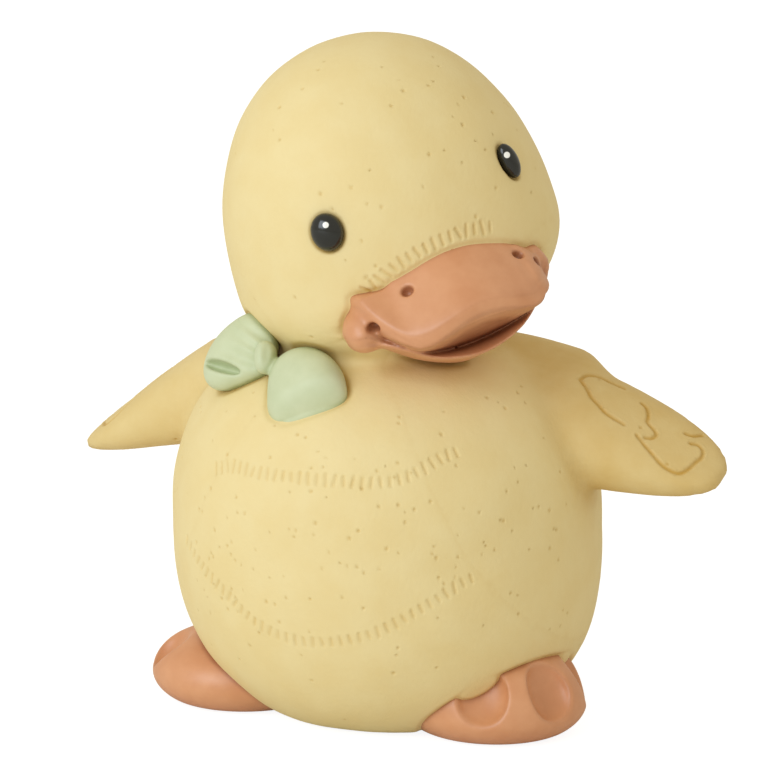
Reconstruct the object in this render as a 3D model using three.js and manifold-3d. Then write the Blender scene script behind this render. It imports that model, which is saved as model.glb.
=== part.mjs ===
// A duckling figurine, cast in one piece of solid resin and painted.
// Millimetres, +Z up, the duckling faces -Y and its own left side is at +X.
// The origin is at the centre of the flat base, under the middle of the body.
import * as THREE from "three";
import { mergeVertices } from "three/addons/utils/BufferGeometryUtils.js";
import Module from "manifold-3d";

// Body: a fat round form cut flat where it stands.
const BODY_RADIUS = 31.4;
const BODY_HALF_HEIGHT = 30;
const BODY_CUT = 3.1;
const BODY_POWER = 2.5;
const BODY_BASE_SHIFT = 1.5;

// Head: wide in the cheeks, tall in the crown, turned and tilted on the body.
const HEAD_HALF_WIDTH = 24;
const HEAD_HALF_DEPTH = 23;
const HEAD_CROWN_HEIGHT = 30.8;
const HEAD_CHIN_DEPTH = 16.2;
const HEAD_POWER = 2.13;
const HEAD_SHIFT_X = 1.6;
const HEAD_SHIFT_Y = -0.6;
const HEAD_SEAT = 4.5;
const HEAD_TURN_DEG = 38;
const HEAD_TILT_DEG = -18;
const FACE_TURN_DEG = 40;
const FACE_TILT_DEG = -17.5;

// Bill, in the frame of the face: an upper half with drooping lips, over a shallow lower bowl.
const BILL_INSET = 7;
const BILL_HALF_WIDTH = 14.4;
const BILL_LENGTH = 14.6;
const BILL_ROOT_RISE = 6;
const BILL_TIP_RISE = 3.3;
const BILL_ROOT_Y = -22;
const BILL_SIDE_FALL = 0.6;
const LIP_Z = -4.9;
const LIP_DROOP = 2.3;
const LIP_LOBE_X = 10;
const LIP_CLIMB = 1.05;
const LIP_ROOT_LIFT = 1.5;
const LIP_THICKNESS = 1.1;
const JAW_HALF_WIDTH = 15;
const JAW_LENGTH = 11;
const JAW_DEPTH = 2.9;
const JAW_Z = -11.1;
const JAW_CORNER_RISE = 4.8;
const JAW_RIM_HEIGHT = 0.9;
const MOUTH_HALF_WIDTH = 12.2;
const MOUTH_LENGTH = 14;
const MOUTH_HALF_HEIGHT = 2.3;
const MOUTH_Z = -8;
const MOUTH_CORNER_RISE = 2.9;
const CORNER_RADIUS = 2.8;
const CORNER_X = 13.7;
const CORNER_Z = -4.6;
const CORNER_OUT = 1.2;
const CORNER_TURN_DEG = 50;
const DIMPLE_X = 13.4;
const DIMPLE_Z = -4.2;
const DIMPLE_OUT = 5;
const DIMPLE_HALF_WIDTH = 1.5;
const DIMPLE_HALF_DEPTH = 2.6;
const DIMPLE_HALF_HEIGHT = 1.1;
const DIMPLE_TURN_DEG = 35;
const NOSTRIL_RADIUS = 1;
const NOSTRIL_X = 8.3;
const NOSTRIL_REACH = 8.6;
const NOSTRIL_Z = -0.9;
const NOSTRIL_TURN_DEG = 20;
const NOSTRIL_LEAN_DEG = 20;

// Eyes: oval beads, each in a shallow socket.
const EYE_HALF_WIDTH = 2.5;
const EYE_HALF_HEIGHT = 2.7;
const EYE_BULGE = 1.7;
const SOCKET_DEPTH = 1;
const EYE_X = 14.2;
const EYE_Z = 10.1;
const SOCKET_MARGIN = 0.55;
const EYE_LEAN_DEG = -6;

// Wings: flat paddles that droop, turned a little about their own length.
const WING_HALF_LENGTH = 24.6;
const WING_FRONT_CHORD = 8.2;
const WING_BACK_CHORD = 9.9;
const WING_TAPER = 0.08;
const WING_FLARE = 0.3;
const WING_FLARE_FROM = -0.1;
const WING_FLARE_TO = 0.2;
const WING_HALF_THICKNESS = 7.2;
const WING_THINNING = 0.64;
const WING_SEAT = 5.2;
const WING_BEHIND = 3;
const LEFT_WING_DROP = 14;
const LEFT_WING_DROOP_DEG = 14.5;
const LEFT_WING_TWIST_DEG = 30;
const RIGHT_WING_DROP = 12.3;
const RIGHT_WING_DROOP_DEG = 24;
const RIGHT_WING_TWIST_DEG = 6;

// Feet: flattened eggs, tucked under all round, with scooped hollows between the toes.
const FOOT_HALF_WIDTH = 13.4;
const FOOT_HALF_LENGTH = 14;
const FOOT_WIDEST_Z = 4.2;
const FOOT_UNDER = 6;
const LEFT_FOOT_RISE = 9.5;
const LEFT_FOOT_ROUND_DEG = 68;
const LEFT_FOOT_SEAT = 11;
const RIGHT_FOOT_RISE = 6.8;
const RIGHT_FOOT_ROUND_DEG = -77;
const RIGHT_FOOT_SEAT = 10.6;
const TOE_OUT_DEG = 60;
const LEFT_WEBS_DEG = [12, 60, 108];
const RIGHT_WEBS_DEG = [-78, -124];
const WEB_HALF_WIDTH = 3.4;
const WEB_HALF_HEIGHT = 4;
const WEB_DEPTH = 1.9;
const WEB_OUT = 0.87;
const WEB_UP = 0.38;
const WEB_LEAN_DEG = -35;

// Bow, in its own frame: two puffed loops and a knot, laid in the crease of the neck.
const BOW_ROUND_DEG = -30.8;
const BOW_SEAT = 10.5;
const BOW_DROP = 3.7;
const BOW_TURN_DEG = -20;
const BOW_LEAN_DEG = -25;
const BOW_TILT_DEG = 8.5;
const BOW_DROOP_DEG = 10.5;
const LEFT_LOOP_LENGTH = 14.8;
const LEFT_LOOP_HALF_WIDTH = 6.5;
const RIGHT_LOOP_LENGTH = 12;
const RIGHT_LOOP_HALF_WIDTH = 5.6;
const LOOP_HALF_THICKNESS = 2.8;
const LOOP_NECK = 0.4;
const KNOT_HALF_WIDTH = 1.9;
const KNOT_HALF_HEIGHT = 2.6;
const KNOT_OUT = 0.8;

// Tail: a small plain nub behind.
const TAIL_LENGTH = 9;
const TAIL_RADIUS = 7;
const TAIL_Z = 17;
const TAIL_SEAT = 1;
const TAIL_TAPER = 0.4;
const TAIL_RAISED_DEG = 32;

const wasm = await Module();
wasm.setup();

/** The solid of a geometry, as the joins and cuts need it. */
function solid(geometry) {
  const bare = new THREE.BufferGeometry();
  bare.setAttribute("position", geometry.getAttribute("position"));
  if (geometry.index) bare.setIndex(geometry.index);
  const merged = mergeVertices(bare, 1e-4);
  const mesh = new wasm.Mesh({
    numProp: 3,
    vertProperties: merged.attributes.position.array,
    triVerts: new Uint32Array(merged.index.array),
  });
  return new wasm.Manifold(mesh);
}

/** A turn and a shift: about Z first named, then X, then Y, in degrees. */
function placed(at, turn = 0, lean = 0, tilt = 0) {
  const rad = THREE.MathUtils.degToRad;
  const euler = new THREE.Euler(rad(lean), rad(tilt), rad(turn), "ZXY");
  const spin = new THREE.Quaternion().setFromEuler(euler);
  return new THREE.Matrix4().compose(at, spin, new THREE.Vector3(1, 1, 1));
}

/**
 * A rounded form. It begins as a ball of radius 1, squared off by one power around its
 * plan and by another from its side, is shaped point by point, and is moved by the
 * matrices in the order given.
 */
function form(detail, [planPower, sidePower], shape, ...moves) {
  const ball = new THREE.IcosahedronGeometry(1, detail);
  const points = ball.getAttribute("position");
  const p = new THREE.Vector3();
  for (let i = 0; i < points.count; i += 1) {
    p.fromBufferAttribute(points, i);
    const plan = (Math.abs(p.x) ** planPower + Math.abs(p.y) ** planPower) ** (1 / planPower);
    const size = (plan ** sidePower + Math.abs(p.z) ** sidePower) ** (-1 / sidePower);
    p.multiplyScalar(size);
    shape(p);
    moves.forEach((m) => p.applyMatrix4(m));
    points.setXYZ(i, p.x, p.y, p.z);
  }
  return solid(ball);
}

/** Scales a point of a form by its three half sizes. */
function stretch(p, x, y, z) {
  p.set(p.x * x, p.y * y, p.z * z);
}

/** A place beside the body: an angle round it from the front, how far inside, and a height. */
function beside(roundDeg, seat, z) {
  const angle = THREE.MathUtils.degToRad(roundDeg);
  const reach = BODY_RADIUS - seat;
  return new THREE.Vector3(reach * Math.sin(angle), -reach * Math.cos(angle), z);
}

const origin = new THREE.Vector3();
const bodyCentreZ = BODY_HALF_HEIGHT - BODY_CUT;
const bodyTop = bodyCentreZ + BODY_HALF_HEIGHT;
const headZ = bodyTop + HEAD_CHIN_DEPTH - HEAD_SEAT;
const headCentre = new THREE.Vector3(HEAD_SHIFT_X, HEAD_SHIFT_Y, headZ);
const head = placed(headCentre, HEAD_TURN_DEG, 0, HEAD_TILT_DEG);
const face = placed(headCentre, FACE_TURN_DEG, 0, FACE_TILT_DEG);
const bowCentre = beside(BOW_ROUND_DEG, BOW_SEAT, bodyTop - BOW_DROP);
const bow = placed(bowCentre, BOW_TURN_DEG, BOW_LEAN_DEG, BOW_TILT_DEG);
const billBack = HEAD_HALF_DEPTH - BILL_INSET;
const faceToHead = head.clone().invert().multiply(face);

/** How far forward the head's surface lies, at a place across the face and a height on it. */
function onHead(x, z) {
  let inside = 0;
  let outside = 2 * HEAD_HALF_DEPTH;
  while (outside - inside > 0.001) {
    const middle = (inside + outside) / 2;
    const p = new THREE.Vector3(x, -middle, z).applyMatrix4(faceToHead);
    const tall = p.z > 0 ? HEAD_CROWN_HEIGHT : HEAD_CHIN_DEPTH;
    const across = Math.hypot(p.x / HEAD_HALF_WIDTH, p.y / HEAD_HALF_DEPTH);
    const level = across ** HEAD_POWER + Math.abs(p.z / tall) ** HEAD_POWER;
    if (level < 1) inside = middle;
    else outside = middle;
  }
  return inside;
}

function bodyForm() {
  const shape = (p) => {
    const lean = BODY_BASE_SHIFT * Math.max(0, -p.z);
    stretch(p, BODY_RADIUS, BODY_RADIUS, BODY_HALF_HEIGHT);
    p.x += lean;
  };
  return form(9, [2, BODY_POWER], shape, placed(new THREE.Vector3(0, 0, bodyCentreZ)));
}

function headForm() {
  const shape = (p) => {
    const tall = p.z > 0 ? HEAD_CROWN_HEIGHT : HEAD_CHIN_DEPTH;
    stretch(p, HEAD_HALF_WIDTH, HEAD_HALF_DEPTH, tall);
  };
  return form(9, [2, HEAD_POWER], shape, head);
}

/** Height of the edge of the upper lip at a distance from the middle of the bill. */
function lipEdge(x) {
  const out = Math.abs(x);
  const drooped = LIP_DROOP * Math.min(1, out / LIP_LOBE_X) ** 2;
  return LIP_Z - drooped + LIP_CLIMB * Math.max(0, out - LIP_LOBE_X);
}

function upperBill() {
  const shape = (p) => {
    const { x, y, z } = p;
    const forward = billBack - BILL_LENGTH * y;
    const open = billBack + BILL_LENGTH + BILL_ROOT_Y;
    const reach = THREE.MathUtils.clamp((forward + BILL_ROOT_Y) / open, 0, 1);
    const middleRise = THREE.MathUtils.lerp(BILL_ROOT_RISE, BILL_TIP_RISE, reach);
    const rise = middleRise * (1 - BILL_SIDE_FALL * x ** 4);
    const height = z > 0 ? rise * z : LIP_THICKNESS * z;
    const across = BILL_HALF_WIDTH * x;
    p.set(across, -forward, lipEdge(across) + LIP_ROOT_LIFT * (1 - reach) + height);
  };
  return form(7, [2.4, 3], shape, face);
}

/** Height of the rim of the lower bill at a distance from its middle. */
function jawEdge(x) {
  return JAW_Z + JAW_CORNER_RISE * (x / JAW_HALF_WIDTH) ** 2;
}

function lowerBill() {
  const shape = (p) => {
    const { x, y, z } = p;
    const across = JAW_HALF_WIDTH * x;
    const height = z > 0 ? JAW_RIM_HEIGHT * z : JAW_DEPTH * z;
    p.set(across, -billBack + JAW_LENGTH * y, jawEdge(across) + height);
  };
  return form(5, [2.3, 2.3], shape, face);
}

/** The hollow of the open mouth, between the arch of the upper bill and the bowl of the lower. */
function mouthHollow() {
  const shape = (p) => {
    const { x, y, z } = p;
    const height = MOUTH_Z + MOUTH_CORNER_RISE * x * x + MOUTH_HALF_HEIGHT * z;
    p.set(MOUTH_HALF_WIDTH * x, -billBack + MOUTH_LENGTH * y, height);
  };
  return form(4, [2.3, 2.2], shape, face);
}

/** The fold of flesh where the two halves of the bill meet at a cheek. */
function mouthCorner(side) {
  const r = CORNER_RADIUS;
  const forward = onHead(side * CORNER_X, CORNER_Z) + CORNER_OUT;
  const at = placed(new THREE.Vector3(side * CORNER_X, -forward, CORNER_Z), side * CORNER_TURN_DEG);
  return form(2, [2, 2], (p) => stretch(p, r * 1.25, r, r * 0.95), at, face);
}

function cornerDimple(side) {
  const forward = onHead(side * DIMPLE_X, DIMPLE_Z) + DIMPLE_OUT;
  const centre = new THREE.Vector3(side * DIMPLE_X, -forward, DIMPLE_Z);
  const shape = (p) => stretch(p, DIMPLE_HALF_WIDTH, DIMPLE_HALF_DEPTH, DIMPLE_HALF_HEIGHT);
  return form(2, [2, 2], shape, placed(centre, side * DIMPLE_TURN_DEG), face);
}

function nostril(side) {
  const centre = new THREE.Vector3(side * NOSTRIL_X, -billBack - NOSTRIL_REACH, NOSTRIL_Z);
  const shape = (p) => stretch(p, NOSTRIL_RADIUS, NOSTRIL_RADIUS * 1.3, NOSTRIL_RADIUS * 1.6);
  const at = placed(centre, side * NOSTRIL_TURN_DEG, NOSTRIL_LEAN_DEG);
  return form(2, [2, 2], shape, at, face);
}

/** An oval on the side of the face, facing straight out of it. */
function eyeForm(side, margin, depth) {
  const forward = onHead(side * EYE_X, EYE_Z);
  const turn = side * THREE.MathUtils.radToDeg(Math.atan2(EYE_X, forward));
  const centre = new THREE.Vector3(side * EYE_X, -forward, EYE_Z);
  const shape = (p) => stretch(p, EYE_HALF_WIDTH + margin, depth, EYE_HALF_HEIGHT + margin);
  return form(3, [2, 2], shape, placed(centre, turn, EYE_LEAN_DEG), face);
}

/** A wing: how far below the top of the body it starts, its droop and its twist in degrees. */
function wing(side, drop, droop, twist) {
  const shape = (p) => {
    const along = p.x * side;
    const thin = 1 - WING_THINNING * Math.max(0, along);
    const past = THREE.MathUtils.smoothstep(along, WING_FLARE_FROM, WING_FLARE_TO);
    const back = WING_BACK_CHORD * (1 - WING_TAPER * along + WING_FLARE * (1 - past));
    const front = WING_FRONT_CHORD * (1 - WING_TAPER * along);
    stretch(p, WING_HALF_LENGTH, p.y > 0 ? back : front, WING_HALF_THICKNESS * thin);
  };
  const centre = beside(side * 90, WING_SEAT, bodyTop - drop);
  centre.y = WING_BEHIND;
  const twisted = placed(origin, 0, twist);
  return form(5, [2.4, 2.4], shape, twisted, placed(centre, 0, 0, side * droop));
}

/** A foot, with a hollow scooped from it at each of the angles round it in `webs`. */
function foot(side, rise, centre, webs) {
  const shape = (p) => {
    stretch(p, FOOT_HALF_WIDTH, FOOT_HALF_LENGTH, p.z > 0 ? rise : FOOT_UNDER);
    p.z += FOOT_WIDEST_Z;
  };
  let whole = form(5, [2, 2.1], shape, placed(centre, side * TOE_OUT_DEG));
  webs.forEach((angle) => {
    const hollow = (p) => stretch(p, WEB_HALF_WIDTH, WEB_DEPTH, WEB_HALF_HEIGHT);
    const at = new THREE.Vector3(0, -WEB_OUT * FOOT_HALF_LENGTH, FOOT_WIDEST_Z + WEB_UP * rise);
    const out = placed(at, 0, WEB_LEAN_DEG);
    whole = whole.subtract(form(3, [2, 2], hollow, out, placed(centre, angle)));
  });
  return whole;
}

function bowLoop(side, length, halfWidth) {
  const shape = (p) => {
    const along = THREE.MathUtils.clamp((p.x * side + 1) / 2, 0, 1);
    const spread = LOOP_NECK + (1 - LOOP_NECK) * Math.sqrt(along);
    stretch(p, length / 2, LOOP_HALF_THICKNESS * spread, halfWidth * spread);
    p.x += (side * length) / 2;
  };
  return form(4, [2.5, 2.5], shape, placed(origin, 0, 0, side * BOW_DROOP_DEG), bow);
}

function bowKnot() {
  const shape = (p) => stretch(p, KNOT_HALF_WIDTH, KNOT_HALF_WIDTH, KNOT_HALF_HEIGHT);
  return form(3, [2, 2.3], shape, placed(new THREE.Vector3(0, -KNOT_OUT, 0)), bow);
}

function tail() {
  const shape = (p) => {
    const narrow = 1 - TAIL_TAPER * p.y;
    stretch(p, TAIL_RADIUS * narrow, TAIL_LENGTH, TAIL_RADIUS * 0.7 * narrow);
  };
  return form(3, [2, 2.2], shape, placed(beside(180, TAIL_SEAT, TAIL_Z), 0, TAIL_RAISED_DEG));
}

/** Everything below the table, which is cut away to leave the flat base. */
function belowTable() {
  const depth = 40;
  const slab = new THREE.BoxGeometry(200, 200, depth);
  slab.translate(0, 0, -depth / 2);
  return solid(slab);
}

function casting() {
  const sides = [-1, 1];
  let whole = bodyForm().add(headForm());
  sides.forEach((side) => {
    whole = whole.subtract(eyeForm(side, SOCKET_MARGIN, SOCKET_DEPTH));
    whole = whole.add(eyeForm(side, 0, EYE_BULGE)).add(mouthCorner(side));
  });
  const leftAt = beside(LEFT_FOOT_ROUND_DEG, LEFT_FOOT_SEAT, 0);
  const rightAt = beside(RIGHT_FOOT_ROUND_DEG, RIGHT_FOOT_SEAT, 0);
  whole = whole.add(foot(1, LEFT_FOOT_RISE, leftAt, LEFT_WEBS_DEG));
  whole = whole.add(foot(-1, RIGHT_FOOT_RISE, rightAt, RIGHT_WEBS_DEG));
  whole = whole.add(upperBill()).add(lowerBill()).subtract(mouthHollow());
  sides.forEach((side) => {
    whole = whole.subtract(nostril(side)).subtract(cornerDimple(side));
  });
  whole = whole.add(wing(1, LEFT_WING_DROP, LEFT_WING_DROOP_DEG, LEFT_WING_TWIST_DEG));
  whole = whole.add(wing(-1, RIGHT_WING_DROP, RIGHT_WING_DROOP_DEG, RIGHT_WING_TWIST_DEG));
  whole = whole.add(bowLoop(1, LEFT_LOOP_LENGTH, LEFT_LOOP_HALF_WIDTH));
  whole = whole.add(bowLoop(-1, RIGHT_LOOP_LENGTH, RIGHT_LOOP_HALF_WIDTH));
  return whole.add(bowKnot()).add(tail()).subtract(belowTable());
}

/** A three.js mesh of a finished solid. */
function meshOf(name, body, material) {
  const made = body.getMesh();
  const geometry = new THREE.BufferGeometry();
  const points = new Float32Array(made.numVert * 3);
  for (let i = 0; i < made.numVert; i += 1) {
    const at = i * made.numProp;
    points.set(made.vertProperties.subarray(at, at + 3), i * 3);
  }
  geometry.setAttribute("position", new THREE.BufferAttribute(points, 3));
  geometry.setIndex(new THREE.BufferAttribute(new Uint32Array(made.triVerts), 1));
  geometry.computeVertexNormals();
  const mesh = new THREE.Mesh(geometry, material);
  mesh.name = name;
  return mesh;
}

const group = new THREE.Group();
const paint = new THREE.MeshStandardMaterial({ color: 0xe9d49c, roughness: 0.7 });
group.add(meshOf("duckling_casting", casting(), paint));

export default group;
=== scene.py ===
"""The fine surface, the paints and a small studio for a duckling figurine cast in resin."""

import logging
import math
from dataclasses import dataclass, replace
from enum import Enum
from itertools import product
from typing import Callable, Optional, Sequence

import bmesh
import bpy
import numpy as np
from mathutils import Matrix, Vector, kdtree

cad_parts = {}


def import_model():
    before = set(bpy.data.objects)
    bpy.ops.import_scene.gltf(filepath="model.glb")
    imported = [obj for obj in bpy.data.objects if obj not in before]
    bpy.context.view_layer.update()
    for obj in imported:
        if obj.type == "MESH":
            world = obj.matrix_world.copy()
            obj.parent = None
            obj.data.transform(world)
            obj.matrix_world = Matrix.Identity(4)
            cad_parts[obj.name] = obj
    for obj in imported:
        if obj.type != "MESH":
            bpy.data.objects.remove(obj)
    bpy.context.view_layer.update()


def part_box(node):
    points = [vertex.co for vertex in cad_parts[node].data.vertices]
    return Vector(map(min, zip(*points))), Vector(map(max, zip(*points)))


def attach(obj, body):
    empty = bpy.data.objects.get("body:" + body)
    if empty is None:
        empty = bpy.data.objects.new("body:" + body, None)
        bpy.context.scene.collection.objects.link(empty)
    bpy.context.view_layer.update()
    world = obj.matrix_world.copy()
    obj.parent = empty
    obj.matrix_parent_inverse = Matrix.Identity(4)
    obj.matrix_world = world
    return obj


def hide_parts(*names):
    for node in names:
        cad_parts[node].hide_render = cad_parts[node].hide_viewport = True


log = logging.getLogger("duckling")

# The shapes below are worked out in millimetres, and each finished mesh is turned into metres.
MM = 0.001
# A form is read this far apart to find which way its surface faces.
PROBE = 0.05
# Farther than this from a form, a rough distance is enough.
SKIP = 3.6
# Grid points along one side of a block that is read only roughly when no surface is near.
BLOCK = 4
# How many blocks away a surface still counts as near.
BLOCKS_AWAY = 1.5
# A point is moved at most this far at once.
LONGEST_MOVE = 1.5
# The square of the gentlest slope that is believed.
FLATTEST = 0.04

NODE = "duckling_casting"

Points = np.ndarray
Field = Callable[[Points], np.ndarray]


@dataclass(frozen=True)
class Place:
    """A frame of its own: where it lies and how it is turned, leant and tilted, in degrees.

    Attributes:
        at: the place of its origin, in millimetres.
        turn: turn about Z, done last.
        lean: turn about X, done second.
        tilt: turn about Y, done first.
        within: the frame that this one is placed in, or none for the figurine's own.
    """

    at: Sequence[float] = (0.0, 0.0, 0.0)
    turn: float = 0.0
    lean: float = 0.0
    tilt: float = 0.0
    within: Optional["Place"] = None

    def spin(self) -> np.ndarray:
        """The turn as a matrix of three rows."""
        about_z = Matrix.Rotation(math.radians(self.turn), 3, "Z")
        about_x = Matrix.Rotation(math.radians(self.lean), 3, "X")
        about_y = Matrix.Rotation(math.radians(self.tilt), 3, "Y")
        return np.array(about_z @ about_x @ about_y)

    def inward(self, points: Points) -> Points:
        """Points of the figurine, as this frame sees them.

        Args:
            points: rows of x, y and z in the figurine's frame.

        Returns:
            The same points in this frame.
        """
        outer = self.within.inward(points) if self.within else points
        return (outer - np.array(self.at)) @ self.spin()

    def outward(self, points: Points) -> Points:
        """Points of this frame, as the figurine sees them.

        Args:
            points: rows of x, y and z in this frame.

        Returns:
            The same points in the figurine's frame.
        """
        placed = np.asarray(points, float) @ self.spin().T + np.array(self.at)
        return self.within.outward(placed) if self.within else placed


@dataclass(frozen=True)
class Profile:
    """A smooth line through a few chosen points, read at any distance from the middle.

    Attributes:
        points: pairs of a distance and the height there, in rising order.
    """

    points: Sequence[tuple[float, float]]

    def at(self, where: np.ndarray) -> np.ndarray:
        """Reads the line.

        Args:
            where: distances along the line.

        Returns:
            The height at each distance.
        """
        xs, ys = np.array(self.points, float).T
        slopes = np.gradient(ys, xs)
        slopes[0] = 0.0 if xs[0] == 0 else slopes[0]
        i = np.clip(np.searchsorted(xs, where) - 1, 0, len(xs) - 2)
        gap = xs[i + 1] - xs[i]
        t = np.clip((where - xs[i]) / gap, 0, 1)
        start = (1 + 2 * t) * (1 - t) ** 2 * ys[i] + t * (1 - t) ** 2 * gap * slopes[i]
        end = t * t * (3 - 2 * t) * ys[i + 1] + t * t * (t - 1) * gap * slopes[i + 1]
        return start + end


def distance(level: Field, points: Points, least: float) -> np.ndarray:
    """Turns a level that is 1 on a surface into a distance from that surface.

    Args:
        level: a field that is under 1 inside and over 1 outside.
        points: where to read it.
        least: the form's smallest half size, which gives the rough distance far from it.

    Returns:
        Millimetres from the surface, under 0 inside.
    """
    here = level(points)
    result = (here - 1) * least
    near = np.abs(result) < SKIP
    chosen, there = points[near], here[near]
    slope = np.full(len(chosen), 1e-9)
    for nudge in np.eye(3) * PROBE:
        slope += ((level(chosen + nudge) - there) / PROBE) ** 2
    result[near] = (there - 1) / np.sqrt(slope)
    return result


def away_from(place: Place, middle: Sequence[float], points: Points) -> np.ndarray:
    """How far points lie from the middle of a form.

    Args:
        place: the form's frame.
        middle: its middle in that frame.
        points: rows of x, y and z in the figurine's frame.

    Returns:
        The distances.
    """
    centre = place.outward(np.array([middle], float))[0]
    squares = [(points[:, k] - centre[k]) ** 2 for k in range(3)]
    return np.sqrt(squares[0] + squares[1] + squares[2])


@dataclass(frozen=True)
class Rounded:
    """A ball squared off by two powers, stretched and bent in a frame of its own.

    Attributes:
        place: its frame.
        half: its half sizes along x, y and z.
        plan: the power that squares it around z. 2 is round.
        side: the power that squares it from the side.
        bend: turns local points into the ball's own units, where a plain stretch won't do.
        middle: its middle in its frame.
    """

    place: Place
    half: Sequence[float]
    plan: float = 2.0
    side: float = 2.0
    bend: Optional[Callable[[Points], Points]] = None
    middle: Sequence[float] = (0.0, 0.0, 0.0)

    def level(self, local: Points) -> np.ndarray:
        """Says how far out points lie, in the ball's own units.

        Args:
            local: rows of x, y and z in the ball's frame.

        Returns:
            Under 1 inside, 1 on the surface and over 1 outside.
        """
        unit = np.abs(self.bend(local) if self.bend else local / np.array(self.half))
        across = (unit[:, 0] ** self.plan + unit[:, 1] ** self.plan) ** (1 / self.plan)
        return (across**self.side + unit[:, 2] ** self.side) ** (1 / self.side)

    def __call__(self, points: Points) -> np.ndarray:
        """Measures how far points are from the ball.

        Args:
            points: rows of x, y and z in the figurine's frame.

        Returns:
            Millimetres, under 0 inside, and rough where they are large.
        """
        reach = max(self.half) * 3 ** (0.5 - 1 / max(self.plan, self.side))
        result = away_from(self.place, self.middle, points) - reach
        near = result < SKIP
        result[~near] = np.maximum(result[~near], SKIP)
        if near.any():
            local = self.place.inward(points[near])
            result[near] = distance(self.level, local, min(self.half))
        return result


@dataclass(frozen=True)
class Spot:
    """A small rounded form or hole that is set out in another frame.

    Attributes:
        at: its place in that frame.
        half: its half sizes along x, y and z.
        turn: its turn about that frame's z, in degrees.
        lean: its turn about x.
        tilt: its turn about y.
        plan: the power that squares it around z. 2 is round.
        side: the power that squares it from the side.
    """

    at: Sequence[float]
    half: Sequence[float]
    turn: float = 0.0
    lean: float = 0.0
    tilt: float = 0.0
    plan: float = 2.0
    side: float = 2.0

    def form(self, frame: Place) -> Rounded:
        """The form itself, placed in a frame."""
        place = Place(self.at, self.turn, self.lean, self.tilt, frame)
        return Rounded(place, self.half, self.plan, self.side)


@dataclass(frozen=True)
class Pillow:
    """A flat shape with a drawn outline and puffed faces, such as a loop of a modelled bow.

    Attributes:
        place: its frame. The outline lies in its x and z, and y is across its thickness.
        outline: corners of a closed outline that bulges all round, rounded softly.
        rim: how far in from the outline the faces still round off.
        half: half of the thickness in the middle.
        swell: moves the faces along y, by place in the outline.
    """

    place: Place
    outline: Sequence[tuple[float, float]]
    rim: float
    half: float
    swell: Optional[Callable[[np.ndarray, np.ndarray], np.ndarray]] = None

    def __call__(self, points: Points) -> np.ndarray:
        """Measures how far points are from the pillow.

        Args:
            points: rows of x, y and z in the figurine's frame.

        Returns:
            Millimetres, under 0 inside, and rough where they are large.
        """
        corners = np.array(self.outline, float)
        middle = corners.mean(axis=0)
        reach = np.linalg.norm(corners - middle, axis=1).max() + self.half
        result = away_from(self.place, (middle[0], 0, middle[1]), points) - reach
        near = result < SKIP
        result[~near] = np.maximum(result[~near], SKIP)
        if near.any():
            x, y, z = self.place.inward(points[near]).T
            inset = soft_inset(corners, np.stack([x, z], axis=1))
            shift = self.swell(x, z) if self.swell else 0.0
            across = np.maximum(inset + self.rim, 0) / self.rim
            thick = (y - shift) / self.half
            out = np.maximum(np.hypot(across, thick), 1e-6)
            slope = np.hypot(across / self.rim, thick / self.half) / out
            result[near] = (out - 1) / np.maximum(slope, 1 / self.rim)
        return result


def soft_inset(
    corners: np.ndarray, points: np.ndarray, sharp: float = 1.1, let_out: float = 0.8
) -> np.ndarray:
    """A smooth measure of how far flat points lie from an outline that bulges all round.

    Args:
        corners: rows of two coordinates, anticlockwise.
        points: rows of two coordinates.
        sharp: how closely the corners are followed.
        let_out: how much of what the rounding takes off the outline is given back.

    Returns:
        Distances, under 0 inside the outline, without a ridge along its middle.
    """
    steepest = 30
    total = np.zeros(len(points))
    for a, b in zip(corners, np.roll(corners, -1, axis=0)):
        along = (b - a) / np.linalg.norm(b - a)
        out = (points - a) @ np.array([along[1], -along[0]])
        total += np.exp(np.clip(sharp * out, -steepest, steepest))
    return (np.log(total) - let_out) / sharp


def box_around(place: Place, low: Sequence[float], high: Sequence[float]) -> tuple[Points, Points]:
    """A box in the figurine's frame around a box in another frame.

    Args:
        place: the other frame.
        low: the box's lowest corner there.
        high: its highest corner there.

    Returns:
        The lowest and the highest corner in the figurine's frame.
    """
    placed = place.outward(np.array(list(product(*zip(low, high))), float))
    return placed.min(axis=0), placed.max(axis=0)


def blended(a: np.ndarray, b: np.ndarray, fillet: float) -> np.ndarray:
    """The smaller of two distances, with a fillet where they meet."""
    overlap = np.maximum(fillet - np.abs(a - b), 0) / fillet
    return np.minimum(a, b) - overlap**2 * fillet / 4


def joined(fillet: float, *fields: Field) -> Field:
    """One form out of several.

    Args:
        fillet: size of the soft fillet where they meet.
        fields: the forms.

    Returns:
        The form of them all.
    """

    def whole(points: Points) -> np.ndarray:
        """The distance of points from the joined form."""
        result = fields[0](points)
        for other in fields[1:]:
            result = blended(result, other(points), fillet)
        return result

    return whole


def hollowed(body: Field, fillet: float, *tools: Field) -> Field:
    """A form with others cut out of it.

    Args:
        body: the form.
        fillet: how far the new edges are rounded.
        tools: what is cut away.

    Returns:
        What is left.
    """

    def left(points: Points) -> np.ndarray:
        """The distance of points from what is left."""
        result = body(points)
        for tool in tools:
            result = -blended(-result, tool(points), fillet)
        return result

    return left


def below_table(points: Points) -> np.ndarray:
    """Everything under the table top."""
    return points[:, 2]


def slopes(surface: Field, points: Points) -> tuple[np.ndarray, np.ndarray]:
    """The distance of points from a form and the way that leads out of it.

    Args:
        surface: the form.
        points: where to read it.

    Returns:
        The distances, and rows of the direction in which they rise fastest.
    """
    here = surface(points)
    rise = [(surface(points + nudge) - here) / PROBE for nudge in np.eye(3) * PROBE]
    return here, np.stack(rise, axis=1)


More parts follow.
